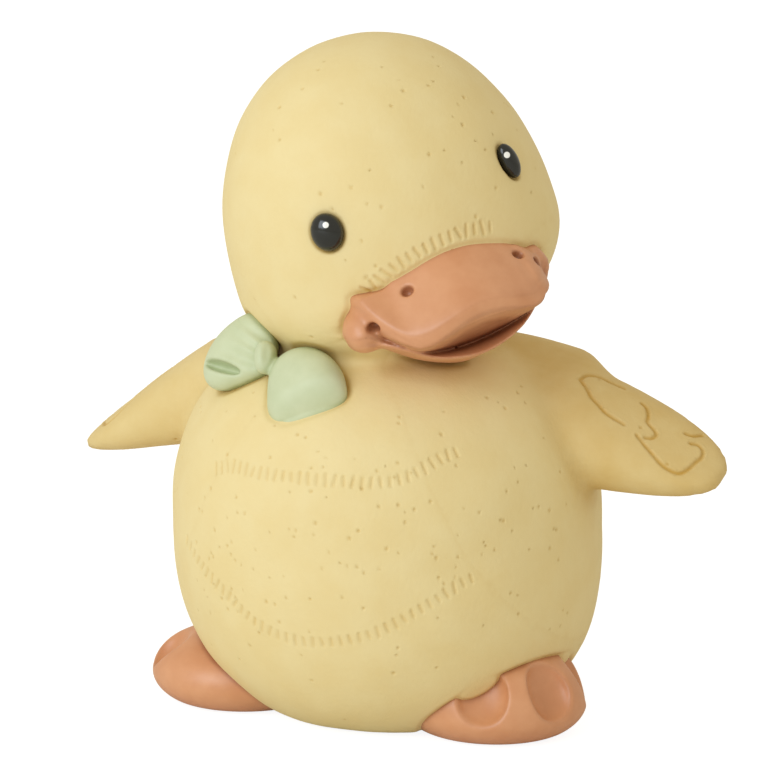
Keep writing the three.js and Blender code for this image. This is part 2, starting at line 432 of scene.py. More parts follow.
def settled(surface: Field, points: Points, rounds: int = 2) -> Points:
    """Moves points onto a form.

    Args:
        surface: the form.
        points: points near it.
        rounds: how many times each point is moved.

    Returns:
        The moved points.
    """
    for _ in range(rounds):
        here, rise = slopes(surface, points)
        step = here / np.maximum((rise**2).sum(axis=1), FLATTEST)
        points = points - np.clip(step, -LONGEST_MOVE, LONGEST_MOVE)[:, None] * rise
    return points


def outward(surface: Field, points: Points) -> Points:
    """The way that leads straight out of a form at points on it."""
    _, rise = slopes(surface, points)
    return rise / np.maximum(np.linalg.norm(rise, axis=1), 1e-6)[:, None]


def sampled(surface: Field, axes: Sequence[np.ndarray], step: float) -> np.ndarray:
    """Reads a form over a grid, finely only in the blocks that lie near its surface.

    Args:
        surface: the form.
        axes: the grid's places along x, y and z, each a whole number of blocks long.
        step: the grid's spacing.

    Returns:
        The distances at the grid's points.
    """
    shape = tuple(len(axis) for axis in axes)
    centres = [axis[::BLOCK] + (BLOCK - 1) / 2 * step for axis in axes]
    coarse = np.stack(np.meshgrid(*centres, indexing="ij"), axis=-1).reshape(-1, 3)
    rough = surface(coarse).reshape(tuple(len(axis) for axis in centres))
    value = rough.repeat(BLOCK, 0).repeat(BLOCK, 1).repeat(BLOCK, 2)
    near = np.argwhere(np.abs(value) < step * BLOCK * BLOCKS_AWAY)
    points = np.stack([axes[k][near[:, k]] for k in range(3)], axis=1)
    value[tuple(near.T)] = surface(points)
    return value.reshape(shape)


def skinned(surface: Field, low: Points, high: Points, step: float) -> tuple[Points, np.ndarray]:
    """A mesh of four-sided faces over a form: one point in each grid cell that it passes.

    Args:
        surface: the form.
        low: lowest corner of a box around it.
        high: highest corner.
        step: the grid's spacing.

    Returns:
        The points, and rows of four point numbers that run anticlockwise seen from outside.
    """
    counts = [math.ceil(((b - a) / step + 5) / BLOCK) * BLOCK for a, b in zip(low, high)]
    axes = [a - 2 * step + step * np.arange(count) for a, count in zip(low, counts)]
    shape = tuple(counts)
    value = sampled(surface, axes, step)
    total = np.zeros((int(np.prod(shape)), 3))
    count = np.zeros(int(np.prod(shape)))
    faces = []
    for axis in range(3):
        near = np.take(value, range(shape[axis] - 1), axis)
        far = np.take(value, range(1, shape[axis]), axis)
        crossed = (near < 0) != (far < 0)
        corner = np.argwhere(crossed)
        crossing = corner.astype(float)
        crossing[:, axis] += near[crossed] / (near[crossed] - far[crossed])
        ring = []
        for back in ((0, 0), (-1, 0), (-1, -1), (0, -1)):
            cell = corner.copy()
            cell[:, (axis + 1) % 3] += back[0]
            cell[:, (axis + 2) % 3] += back[1]
            number = np.ravel_multi_index(tuple(cell.T), shape)
            for k in range(3):
                total[:, k] += np.bincount(number, crossing[:, k], len(count))
            count += np.bincount(number, minlength=len(count))
            ring.append(number)
        face = np.stack(ring, axis=1)
        inward = near[crossed] >= 0
        face[inward] = face[inward][:, ::-1]
        faces.append(face)
    used = np.flatnonzero(count)
    renumber = np.zeros(len(count), int)
    renumber[used] = np.arange(len(used))
    start = np.array([axis[0] for axis in axes])
    points = start + total[used] / count[used][:, None] * step
    return points, renumber[np.concatenate(faces)]


def evened(surface: Field, points: Points, faces: np.ndarray, rounds: int) -> Points:
    """Spreads the points of a mesh evenly over its form.

    Args:
        surface: the form.
        points: the mesh's points.
        faces: rows of four point numbers.
        rounds: how many times each point moves to the middle of its neighbours.

    Returns:
        The moved points.
    """
    start = faces.reshape(-1)
    end = np.roll(faces, -1, axis=1).reshape(-1)
    count = np.bincount(start, minlength=len(points)) + np.bincount(end, minlength=len(points))
    for _ in range(rounds):
        sums = [
            np.bincount(start, points[end, k], len(points))
            + np.bincount(end, points[start, k], len(points))
            for k in range(3)
        ]
        points = (points + np.stack(sums, axis=1) / count[:, None]) / 2
        points = settled(surface, points, 1)
    return points


def read_points(mesh: bpy.types.Mesh) -> Points:
    """The points of a mesh in millimetres."""
    flat = np.zeros(len(mesh.vertices) * 3)
    mesh.vertices.foreach_get("co", flat)
    return flat.reshape(-1, 3) / MM


def write_points(mesh: bpy.types.Mesh, points: Points) -> None:
    """Puts points in millimetres into a mesh in metres."""
    mesh.vertices.foreach_set("co", (points * MM).reshape(-1))
    mesh.update()


def store(mesh: bpy.types.Mesh, name: str, values: np.ndarray) -> None:
    """Writes one number for each point of a mesh under a name."""
    found = mesh.attributes.get(name) or mesh.attributes.new(name, "FLOAT", "POINT")
    found.data.foreach_set("value", values.astype(np.float32))


def object_of(name: str, points: Points, faces: Sequence, edges: Sequence = ()) -> bpy.types.Object:
    """An object in the scene from points in millimetres.

    Args:
        name: its name.
        points: rows of x, y and z.
        faces: rows of point numbers.
        edges: pairs of point numbers, for a mesh of lines.

    Returns:
        The new object, at the origin, smooth shaded.
    """
    mesh = bpy.data.meshes.new(name)
    mesh.from_pydata((points * MM).tolist(), [list(e) for e in edges], [list(f) for f in faces])
    mesh.shade_smooth()
    made = bpy.data.objects.new(name, mesh)
    bpy.context.scene.collection.objects.link(made)
    return made


def modelled(name: str, form: Field, low: Points, high: Points, step: float) -> bpy.types.Object:
    """A finished mesh of a form.

    Args:
        name: the object's name.
        form: the form.
        low: lowest corner of a box around it.
        high: highest corner.
        step: size of its faces.

    Returns:
        The new object.
    """
    points, faces = skinned(form, low, high, step)
    points = settled(form, points, 1)
    points = evened(form, points, faces, 3)
    log.info("%s: %d faces of %.2f mm", name, len(faces), step)
    return object_of(name, points, faces)


def refined(made: bpy.types.Object, form: Field, marks: Points, reach: float) -> None:
    """Halves the faces near marks and sets the new points on the form.

    Args:
        made: the object whose mesh is changed.
        form: its form.
        marks: points around which finer faces are needed.
        reach: how far from a mark they are needed.
    """
    tree = kdtree.KDTree(len(marks))
    for number, mark in enumerate(marks):
        tree.insert(mark, number)
    tree.balance()
    near = np.array([tree.find(point)[2] < reach for point in read_points(made.data)])
    work = bmesh.new()
    work.from_mesh(made.data)
    work.verts.ensure_lookup_table()
    chosen = [f for f in work.faces if any(near[v.index] for v in f.verts)]
    edges = list({edge for face in chosen for edge in face.edges})
    bmesh.ops.subdivide_edges(work, edges=edges, cuts=1, use_grid_fill=True)
    work.to_mesh(made.data)
    work.free()
    made.data.shade_smooth()
    write_points(made.data, settled(form, read_points(made.data), 1))


def hollow(form: Field, points: Points, way: Points, reach: float) -> np.ndarray:
    """How deep in a crease points lie.

    Args:
        form: everything that may stand near.
        points: points on a surface.
        way: the way out of the surface at each.
        reach: how far out the crease is felt.

    Returns:
        0 in the open to 1 in the bottom of a crease.
    """
    return np.clip(1 - form(points + way * reach) / reach, 0, 1)


@dataclass(frozen=True)
class Trunk:
    """The fat round body, cut flat where it stands, and the nub of its tail."""

    radius: float = 31.4
    half_height: float = 30.0
    centre_z: float = 26.9
    power: float = 2.5
    base_shift: float = 1.5
    tail_length: float = 9.0
    tail_radius: float = 7.0
    tail_z: float = 17.0
    tail_sunk: float = 1.0
    tail_lean: float = 32.0
    tail_taper: float = 0.4
    tail_flatness: float = 0.7
    tail_spread: float = 1.4
    tail_power: float = 2.2

    def bend(self, local: Points) -> Points:
        """Undoes the small shift of the base."""
        unit = local / np.array([self.radius, self.radius, self.half_height])
        shift = self.base_shift * np.maximum(-unit[:, 2], 0)
        unit[:, 0] -= shift / self.radius
        return unit

    def body(self) -> Field:
        """The body."""
        half = (self.radius, self.radius, self.half_height)
        return Rounded(Place((0, 0, self.centre_z)), half, 2, self.power, self.bend)

    def narrowed(self, local: Points) -> Points:
        """Narrows the tail towards its tip."""
        y = local[:, 1] / self.tail_length
        narrow = 1 - self.tail_taper * np.clip(y, -1, 1)
        x = local[:, 0] / (self.tail_radius * narrow)
        z = local[:, 2] / (self.tail_radius * self.tail_flatness * narrow)
        return np.stack([x, y, z], axis=1)

    def tail(self) -> Field:
        """The tail: a short flattened cone that turns up."""
        place = Place((0, self.radius - self.tail_sunk, self.tail_z), lean=self.tail_lean)
        half = (self.tail_radius * self.tail_spread, self.tail_length, self.tail_radius)
        return Rounded(place, half, 2, self.tail_power, self.narrowed)


@dataclass(frozen=True)
class Head:
    """The big head, turned and tilted on the body.

    Attributes:
        half_width: half its width.
        half_depth: half its depth.
        crown: its height over its middle.
        chin: its depth below it.
        power: the power that squares it from the side.
        place: its frame.
        face: the frame that bill, eyes and the marks over the bill are set out in.
    """

    half_width: float = 24.0
    half_depth: float = 23.0
    crown: float = 30.8
    chin: float = 16.2
    power: float = 2.13
    place: Place = Place((1.6, -0.6, 68.6), turn=38, tilt=-18)
    face: Place = Place((1.6, -0.6, 68.6), turn=40, tilt=-17.5)

    def bend(self, local: Points) -> Points:
        """Gives the crown and the chin heights of their own."""
        tall = np.where(local[:, 2] > 0, self.crown, self.chin)
        size = [local[:, 0] / self.half_width, local[:, 1] / self.half_depth, local[:, 2] / tall]
        return np.stack(size, axis=1)

    def form(self) -> Field:
        """The head without its bill."""
        half = (self.half_width, self.half_depth, self.crown)
        return Rounded(self.place, half, 2, self.power, self.bend)


class Side(Enum):
    """The duckling's own left and right."""

    LEFT = 1
    RIGHT = -1


@dataclass(frozen=True)
class Wing:
    """A wing held out: a thick paddle that droops, turned about its own length.

    Attributes:
        side: whose wing it is.
        height: height of its middle.
        droop: how far its tip hangs, in degrees.
        twist: its turn about its own length, in degrees.
        half_length: half its length.
        front_chord: its width in front of its middle line.
        back_chord: its width behind it.
        taper: share of the widths that is lost at the tip.
        flare: share of the width behind that is added at the root.
        flare_from: where along it the flare starts to fade, as a share of the half length.
        flare_to: where it has gone.
        half_thickness: half its thickness at the root.
        thinning: share of the thickness that is lost at the tip.
        power: the power that squares it.
        out: how far out from the middle of the body it sits.
        behind: how far back.
    """

    side: Side
    height: float
    droop: float
    twist: float
    half_length: float = 24.6
    front_chord: float = 8.2
    back_chord: float = 9.9
    taper: float = 0.08
    flare: float = 0.3
    flare_from: float = -0.1
    flare_to: float = 0.2
    half_thickness: float = 7.2
    thinning: float = 0.64
    power: float = 2.4
    out: float = 26.2
    behind: float = 3.0

    def place(self) -> Place:
        """The wing's frame: x along it, y across it to the back and z out of its face."""
        at = (self.side.value * self.out, self.behind, self.height)
        held = Place(at, tilt=self.side.value * self.droop)
        return Place(lean=self.twist, within=held)

    def bend(self, local: Points) -> Points:
        """Narrows and thins the wing towards its tip and flares it to the back at its root."""
        x = local[:, 0] / self.half_length
        along = np.clip(x * self.side.value, -1.2, 1.2)
        t = np.clip((along - self.flare_from) / (self.flare_to - self.flare_from), 0, 1)
        flare = self.flare * (1 - t * t * (3 - 2 * t))
        narrow = 1 - self.taper * along
        behind = self.back_chord * (narrow + flare)
        chord = np.where(local[:, 1] > 0, behind, self.front_chord * narrow)
        thin = 1 - self.thinning * np.maximum(along, 0)
        z = local[:, 2] / (self.half_thickness * thin)
        return np.stack([x, local[:, 1] / chord, z], axis=1)

    def form(self) -> Field:
        """The wing."""
        half = (self.half_length, self.back_chord * (1 + self.flare), self.half_thickness)
        return Rounded(self.place(), half, self.power, self.power, self.bend)


@dataclass(frozen=True)
class Bill:
    """The bill, a little open: a broad upper half with drooping lips over a shallow bowl.

    It is set out in the frame of the face. The ridge, the hang of the lip, and the rim and keel
    of the bowl are heights of lines across the front, from the middle to a side.

    The top face rises from the ridge towards the root, the place where the forehead begins. The
    lip hangs under the ridge, and at the root its underside closes down over the mouth. On the
    duckling's left, the side away from the camera, the ridge stops falling at far_level,
    and the lip widens where it tucks under. The gap is the open mouth between the halves, and
    the holes are the nostrils and the dimples, before they are set on the surface.
    """

    head: Head
    half_width: float = 14.2
    back: float = 17.0
    length: float = 13.6
    height: float = 7.0
    middle_z: float = -2.0
    plan: float = 2.4
    side: float = 2.6
    root: float = 21.0
    root_rise: float = 5.3
    tip_rise: float = 1.7
    root_lift: float = 2.6
    lift_power: float = 1.4
    edge_power: int = 4
    edge_drop: float = 0.25
    ridge: Profile = Profile(
        ((0, -3.8), (3, -4.2), (5.5, -5.0), (8, -5.8), (10, -6.1), (12, -5.1), (14.2, -3.3))
    )
    hang: Profile = Profile(((0, 2.2), (5, 2.1), (9, 1.9), (11, 1.6), (14.2, 1.1)))
    lip_power: float = 2.5
    closing: float = 6.0
    closing_power: float = 0.8
    closing_width: float = 10.5
    far_level: float = 10.4
    far_width: float = 0.94
    far_lip: float = 0.24
    far_drop: float = 0.3
    tuck_from: float = 1.0
    tuck_depth: float = 2.5
    jaw_half_width: float = 15.0
    jaw_length: float = 11.2
    jaw_height: float = 5.0
    jaw_z: float = -9.0
    jaw_sunk: float = 1.0
    jaw_belly: float = 3.2
    jaw_plan: float = 2.3
    jaw_side: float = 2.4
    rim: Profile = Profile(((0, -10.8), (4.5, -10.2), (7, -9.2), (9, -7.7), (11, -6.1), (15, -4.2)))
    keel: Profile = Profile(((0, -12.1), (4, -11.5), (7.7, -10.3), (11.3, -8.5), (15, -6.7)))
    gap: Sequence[float] = (10.4, 8.0, 3.0)
    gap_back: float = 20.0
    gap_z: float = -8.0
    gap_power: int = 4
    gap_length: float = 6.4
    gap_reach: float = 1.7
    gap_curve: float = 0.035
    gap_top: float = 0.9
    gap_bottom: float = 0.4
    gap_least: float = 0.3
    corners: Sequence[Spot] = (
        Spot((12.4, -17.0, -4.7), (2.3, 3.4, 2.8), turn=20),
        Spot((-13.7, -18.4, -4.7), (2.7, 4.3, 3.0), turn=-20),
    )
    holes: Sequence[Spot] = (
        Spot((10.5, -23.6, 0.0), (0.85, 1.3, 0.75), turn=22, lean=-45),
        Spot((13.1, -22.8, -3.6), (1.0, 1.6, 0.7), turn=38),
        Spot((-7.5, -23.6, 0.0), (0.85, 1.3, 0.75), turn=-22, lean=-45),
        Spot((-13.1, -22.8, -3.6), (1.0, 1.6, 0.7), turn=-38),
    )
    corner_fillet: float = 1.5
    jaw_fillet: float = 1.4
    lip_fillet: float = 0.35
    hole_edge: float = 0.5
    low: Sequence[float] = (-18, -32, -15)
    high: Sequence[float] = (18, -3, 5)
    step: float = 0.26

    def bend_upper(self, local: Points) -> Points:
        """Lays the upper half along its ridge and lets it rise to the forehead.

        Args:
            local: rows of x, y and z in the frame of the face.

        Returns:
            The same points in units of the upper half.
        """
        out = np.abs(local[:, 0])
        forward = -local[:, 1]
        y = (forward - self.back) / self.length
        front = self.back + self.length
        reach = np.clip((forward - self.root) / (front - self.root), 0, 1)
        far = local[:, 0] > 0
        level = np.where(far, np.minimum(out, self.far_level), out)
        ridge = self.ridge.at(level)
        tuck = np.clip((ridge + self.tuck_from - local[:, 2]) / self.tuck_depth, 0, 1)
        width = np.where(far, self.far_width + self.far_lip * reach * tuck, 1)
        x = out / (self.half_width * width)
        edge = np.clip(x, 0, 1) ** self.edge_power
        low = 1 - np.where(far, self.far_drop, 0.0) * edge
        base = ridge + self.root_lift * (1 - reach) ** self.lift_power * low
        rise = self.tip_rise + (self.root_rise - self.tip_rise) * (1 - reach)
        rise = rise * (1 - self.edge_drop * edge) * low
        over = local[:, 2] - base
        closing = self.closing * (1 - reach) ** self.closing_power
        closing = closing * np.clip(1 - (out / self.closing_width) ** 2, 0, 1)
        under = self.hang.at(level) + (base - ridge) + closing
        z = np.where(over > 0, over / rise, -(np.abs(over / under) ** self.lip_power))
        return np.stack([x, y, z], axis=1)

    def upper(self) -> Field:
        """The broad upper half with its hanging lip."""
        half = (self.half_width, self.length, self.height)
        middle = (0, -self.back, self.middle_z)
        return Rounded(self.head.face, half, self.plan, self.side, self.bend_upper, middle)

    def bend_jaw(self, local: Points) -> Points:
        """Lays the bowl between its rim and its underside.

        Args:
            local: rows of x, y and z in the frame of the face.

        Returns:
            The same points in units of the bowl.
        """
        out = np.abs(local[:, 0])
        x = out / self.jaw_half_width
        y = (-local[:, 1] - self.back + self.jaw_sunk) / self.jaw_length
        top, bottom = self.rim.at(out), self.keel.at(out)
        inner = np.clip(1 - np.hypot(x, y), 0, 1)
        over = local[:, 2] - (top + bottom) / 2
        under = (top - bottom) / 2 + self.jaw_belly * inner
        z = over / np.where(over > 0, (top - bottom) / 2, under)
        return np.stack([x, y, z], axis=1)

    def jaw(self) -> Field:
        """The bowl of the lower half."""
        half = (self.jaw_half_width, self.jaw_length, self.jaw_height)
        middle = (0, -self.back, self.jaw_z)
        return Rounded(self.head.face, half, self.jaw_plan, self.jaw_side, self.bend_jaw, middle)

    def bend_gap(self, local: Points) -> Points:
        """Lays the gap between the edge of the lip and the rim of the bowl.

        Args:
            local: rows of x, y and z in the frame of the face.

        Returns:
            The same points in units of the gap.
        """
        out = np.abs(local[:, 0])
        top = self.ridge.at(out) - self.gap_top * self.hang.at(out)
        bottom = self.rim.at(out) - self.gap_bottom
        half = np.maximum((top - bottom) / 2, self.gap_least)
        z = (local[:, 2] - (top + bottom) / 2) / half
        forward = -local[:, 1] + self.gap_curve * out**2
        front = self.gap_length + self.gap_reach * np.clip(z + 1, 0, 2)
        return np.stack([out / self.gap[0], (forward - self.gap_back) / front, z], axis=1)

    def mouth(self) -> Field:
        """The place of the open gap between the halves, where more painted shade is laid."""
        middle = (0, -self.gap_back, self.gap_z)
        power = self.gap_power
        return Rounded(self.head.face, self.gap, power, power, self.bend_gap, middle)

    def pits(self) -> list[Field]:
        """The nostrils and the dimples at the corners, set on the upper half's own surface."""
        found = []
        for hole in self.holes:
            near = self.head.face.outward(np.array([hole.at], float))
            at = self.head.face.inward(settled(self.upper(), near, 4))[0]
            found.append(replace(hole, at=tuple(at)).form(self.head.face))
        return found

    def form(self) -> Field:
        """The whole bill."""
        corners = [corner.form(self.head.face) for corner in self.corners]
        whole = joined(self.corner_fillet, self.upper(), *corners)
        lower = joined(self.jaw_fillet, self.jaw(), *corners)
        both = joined(self.lip_fillet, whole, lower)
        return hollowed(both, self.hole_edge, *self.pits())

    def bounds(self) -> tuple[Points, Points]:
        """A box around the bill."""
        return box_around(self.head.face, self.low, self.high)


@dataclass(frozen=True)
class Foot:
    """A broad foot: a flattened egg tucked under all round, with hollows between its toes.

    Each of the hollows is the way that it looks, in degrees round the foot's middle. A scoop lies
    at shares of the half length out and of the rise up, and is leant back.
    """

    side: Side
    at: Sequence[float]
    rise: float
    hollows: Sequence[float]
    half_width: float = 13.4
    half_length: float = 14.0
    power: float = 2.1
    widest_z: float = 4.2
    under: float = 6.0
    toe_out: float = 60.0
    scoop: Sequence[float] = (3.5, 2.0, 4.4)
    scoop_out: float = 0.87
    scoop_up: float = 0.36
    scoop_lean: float = -33.0
    edge: float = 0.8
    margin: float = 0.5
    step: float = 0.34

    def bend(self, local: Points) -> Points:
        """Gives the egg its own height above and below its widest place."""
        over = local[:, 2] - self.widest_z
        z = over / np.where(over > 0, self.rise, self.under)
        return np.stack([local[:, 0] / self.half_width, local[:, 1] / self.half_length, z], axis=1)

    def form(self) -> Field:
        """The foot."""
        stance = Place(self.at, turn=self.side.value * self.toe_out)
        half = (self.half_width, self.half_length, self.rise)
        egg = Rounded(stance, half, 2, self.power, self.bend, (0, 0, self.widest_z))
        z = self.widest_z + self.scoop_up * self.rise
        hole = Spot((0, -self.scoop_out * self.half_length, z), self.scoop, lean=self.scoop_lean)
        scoops = [hole.form(Place(self.at, turn=angle)) for angle in self.hollows]
        return hollowed(hollowed(egg, self.edge, *scoops), self.edge, below_table)

    def bounds(self) -> tuple[Points, Points]:
        """A box around the foot."""
        centre = np.array(self.at, float)
        reach = max(self.half_width, self.half_length) + self.margin
        low = centre - np.array([reach, reach, 0])
        return low, centre + np.array([reach, reach, self.widest_z + self.rise])


@dataclass(frozen=True)
class Pleat:
    """A pinch in the face of the folded loop, which fades along its length.

    Attributes:
        start: where it starts in the outline.
        end: where it ends.
        width: how wide it is.
        depth: how far it is pushed in at its start.
        fade: share of the depth that is lost at its end.
    """

    start: tuple[float, float]
    end: tuple[float, float]
    width: float
    depth: float
    fade: float = 0.7

    def at(self, places: np.ndarray) -> np.ndarray:
        """How far it pushes the face in at places in the outline."""
        along = np.array(self.end) - np.array(self.start)
        offset = places - np.array(self.start)
        t = np.clip(offset @ along / (along @ along), 0, 1)
        off = np.linalg.norm(offset - t[:, None] * along, axis=1)
        return self.depth * (1 - self.fade * t) * np.exp(-((off / self.width) ** 2))


@dataclass(frozen=True)
class Bow:
    """The bow at the neck: a folded open loop, a puffed loop and the knot between them.

    The outlines of its loops lie in the x and z of its frame, and -y looks out of it. Each loop
    has a rim, over which its faces round off, and half of a thickness. The folded loop is open
    at its lower edge, the pocket. The puffed loop's face turns back under a line that rises by
    turn_slope through turn_at, over turn_width.
    """

    place: Place = Place((-10.6, -17.8, 53.2), turn=-20, lean=-25)
    folded: Sequence[tuple[float, float]] = (
        (-0.4, -0.9), (-0.9, 2.6), (-3.6, 6.2), (-6.0, 6.9), (-11.0, 2.8), (-12.2, -0.6),
        (-12.0, -3.2), (-10.6, -4.8), (-7.8, -5.2), (-4.4, -3.6),
    )
    folded_rim: float = 3.6
    folded_half: float = 2.6
    pleats: Sequence[Pleat] = (
        Pleat((-1.8, 3.0), (-6.0, 4.6), 0.75, 0.55),
        Pleat((-2.2, 1.4), (-6.6, 3.0), 0.75, 0.55),
        Pleat((-2.6, -0.4), (-7.4, 0.2), 1.1, 0.8),
    )
    pocket: Spot = Spot((-7.8, -2.6, -2.0), (3.7, 2.2, 0.85), tilt=4, plan=2.4)
    pocket_edge: float = 0.5
    puffed: Sequence[tuple[float, float]] = (
        (0.4, -1.2), (1.7, -5.2), (3.9, -9.6), (5.8, -11.8), (8.4, -10.2), (12.0, -6.4),
        (13.9, -3.0), (13.0, -0.3), (9.0, 2.6), (5.0, 3.2), (1.4, 1.2),
    )
    puffed_rim: float = 4.6
    puffed_half: float = 3.4
    puffed_lean: float = -7.0
    turn_at: Sequence[float] = (3.4, -6.2)
    turn_slope: float = 0.62
    turn_scale: float = 0.85
    turn_back: float = 1.6
    turn_width: float = 3.5
    turn_power: float = 1.6
    knot: Spot = Spot((-0.2, -1.9, 0.4), (1.5, 1.8, 2.4), tilt=-16, side=2.3)
    crease: Spot = Spot((0.9, -3.6, 1.2), (0.35, 0.6, 1.7), tilt=-14)
    crease_edge: float = 0.7
    loop_fillet: float = 0.4
    knot_fillet: float = 0.7
    low: Sequence[float] = (-15, -6, -15)
    high: Sequence[float] = (17, 7, 9)
    step: float = 0.25

    def fold(self, x: np.ndarray, z: np.ndarray) -> np.ndarray:
        """How far the folded loop's face is pushed in at places on it.

        Args:
            x: places along the bow.
            z: places up it.

        Returns:
            The depths.
        """
        places = np.stack([x, z], axis=1)
        bent = np.zeros(len(x))
        for pleat in self.pleats:
            bent = bent + pleat.at(places)
        return bent

    def puff(self, x: np.ndarray, z: np.ndarray) -> np.ndarray:
        """How far the puffed loop's face turns back at places on it."""
        at_x, at_z = self.turn_at
        below = (z - self.turn_slope * (x - at_x) - at_z) * -self.turn_scale
        return self.turn_back * np.clip(below / self.turn_width, 0, 1) ** self.turn_power

    def form(self) -> Field:
        """The whole bow."""
        folded = Pillow(self.place, self.folded, self.folded_rim, self.folded_half, self.fold)
        folded = hollowed(folded, self.pocket_edge, self.pocket.form(self.place))
        leant = Place(lean=self.puffed_lean, within=self.place)
        puffed = Pillow(leant, self.puffed, self.puffed_rim, self.puffed_half, self.puff)
        knot = hollowed(self.knot.form(self.place), self.crease_edge, self.crease.form(self.place))
        return joined(self.knot_fillet, joined(self.loop_fillet, folded, puffed), knot)

    def bounds(self) -> tuple[Points, Points]:
        """A box around the bow."""
        return box_around(self.place, self.low, self.high)


@dataclass(frozen=True)
class Eye:
    """An oval eye of gloss enamel, domed in a shallow socket.

    Its place is set out in the frame of the face. The right eye is near the camera and wider,
    and the left one is the far one. The ring is half the width and height of the crease
    around it, and each dot is where its touch of white is, in its own frame.
    """

    side: Side
    head: Head
    half_width: float = 2.35
    far_half_width: float = 1.45
    half_height: float = 2.7
    bulge: float = 1.7
    bulge_share: float = 0.9
    x: float = 14.2
    forward: float = 17.4
    z: float = 10.1
    lean: float = -6.0
    far_tilt: float = -8.0
    socket_margin: float = 0.32
    socket_depth: float = 1.25
    dot_at: Sequence[float] = (0.7, -1.45, 1.3)
    far_dot_at: Sequence[float] = (-0.9, -0.75, 1.3)
    dot_radius: float = 0.45
    ring: Sequence[float] = (2.9, 3.1)
    reach: float = 3.2
    step: float = 0.14

    def place(self) -> Place:
        """The eye's frame: -y looks straight out of it."""
        turn = self.side.value * math.degrees(math.atan2(self.x, self.forward))
        tilt = self.far_tilt if self.side is Side.LEFT else 0.0
        at = (self.side.value * self.x, -self.forward, self.z)
        return Place(at, turn, self.lean, tilt, within=self.head.face)

    def width(self) -> float:
        """Half its width: the two differ a little."""
        return self.half_width if self.side is Side.RIGHT else self.far_half_width

    def form(self) -> Field:
        """The domed eye."""
        bulge = min(self.bulge, self.width() * self.bulge_share)
        return Rounded(self.place(), (self.width(), bulge, self.half_height))

    def socket(self) -> Field:
        """What is pressed out of the face around it."""
        wide, tall = self.width() + self.socket_margin, self.half_height + self.socket_margin
        return Rounded(self.place(), (wide, self.socket_depth, tall))

    def dot(self) -> Points:
        """Where its touch of white is."""
        local = self.dot_at if self.side is Side.RIGHT else self.far_dot_at
        return self.place().outward(np.array([local]))[0]

    def crease(self, count: int = 40) -> Points:
        """Points on the crease around it."""
        turn = np.linspace(0, 2 * math.pi, count)
        wide, tall = self.ring
        oval = np.stack([wide * np.sin(turn), 0 * turn, tall * np.cos(turn)], axis=1)
        return self.place().outward(oval)

    def bounds(self) -> tuple[Points, Points]:
        """A box around the eye."""
        centre = self.place().outward(np.zeros((1, 3)))[0]
        return centre - self.reach, centre + self.reach


@dataclass(frozen=True)
class Skin:
    """The yellow surface: body, head, wings and tail in one, with soft creases between them.

    A fine groove runs where it meets the pieces beside it. Its lumps are a few waves of random
    ways and starts, with lengths between the two given. Both are worked out only near the
    surface, down to the depth.
    """

    trunk: Trunk
    head: Head
    wings: Sequence[Wing]
    eyes: Sequence[Eye]
    beside: Sequence[Field]
    neck_fillet: float = 2.4
    wing_fillet: float = 1.8
    tail_fillet: float = 3.2
    base_edge: float = 1.2
    socket_edge: float = 0.5
    groove_width: float = 0.55
    groove_depth: float = 0.3
    lump_height: float = 0.16
    lump_length: Sequence[float] = (7, 15)
    lump_waves: int = 9
    lump_start: float = 6.3
    depth: float = 3.0
    step: float = 1.05
    seed: int = 7

    def lumps(self, points: Points) -> np.ndarray:
        """The slight unevenness that a hand-modelled surface keeps.

        Args:
            points: places on the skin.

        Returns:
            Its height there, from -1 to 1.
        """
        rng = np.random.default_rng(self.seed)
        total = np.zeros(len(points))
        for _ in range(self.lump_waves):
            way = rng.normal(size=3)
            way *= 2 * math.pi / rng.uniform(*self.lump_length) / np.linalg.norm(way)
            total += np.sin(points @ way + rng.uniform(0, self.lump_start))
        return total / self.lump_waves

    def form(self) -> Field:
        """The whole skin."""
        whole = joined(self.neck_fillet, self.trunk.body(), self.head.form())
        whole = joined(self.wing_fillet, whole, *(wing.form() for wing in self.wings))
        whole = joined(self.tail_fillet, whole, self.trunk.tail())
        whole = hollowed(whole, self.base_edge, below_table)
        whole = hollowed(whole, self.socket_edge, *(eye.socket() for eye in self.eyes))

        def finished(points: Points) -> np.ndarray:
            """The distance of points from the skin, with its lumps and its grooves."""
            result = whole(points)
            near = np.abs(result) < self.depth
            chosen = points[near]
            groove = np.zeros(len(chosen))
            for other in self.beside:
                beside = np.exp(-((other(chosen) / self.groove_width) ** 2))
                groove = np.maximum(groove, beside)
            lumps = self.lumps(chosen)
            result[near] += self.lump_height * lumps + self.groove_depth * groove
            return result

        return finished


def linear(code: str) -> tuple[float, float, float, float]:
    """The linear colour of an sRGB hex code.

    Args:
        code: six hex digits.

    Returns:
        Red, green, blue and 1, linear.
    """
    parts = [int(code[i : i + 2], 16) / 255 for i in (0, 2, 4)]
    turned = [p / 12.92 if p <= 0.04045 else ((p + 0.055) / 1.055) ** 2.4 for p in parts]
    return (turned[0], turned[1], turned[2], 1.0)


def add(tree: bpy.types.NodeTree, kind: str, links: dict, **settings: object) -> bpy.types.Node:
    """Adds a node to a tree.

    Args:
        tree: the tree.
        kind: the node's type.
        links: for each input, by name or number, a value or the output that feeds it.
        settings: the node's own settings.

    Returns:
        The new node.
    """
    node = tree.nodes.new(kind)
    for name, value in settings.items():
        setattr(node, name, value)
    for name, value in links.items():
        if isinstance(value, bpy.types.NodeSocket):
            tree.links.new(value, node.inputs[name])
        else:
            node.inputs[name].default_value = value
    return node


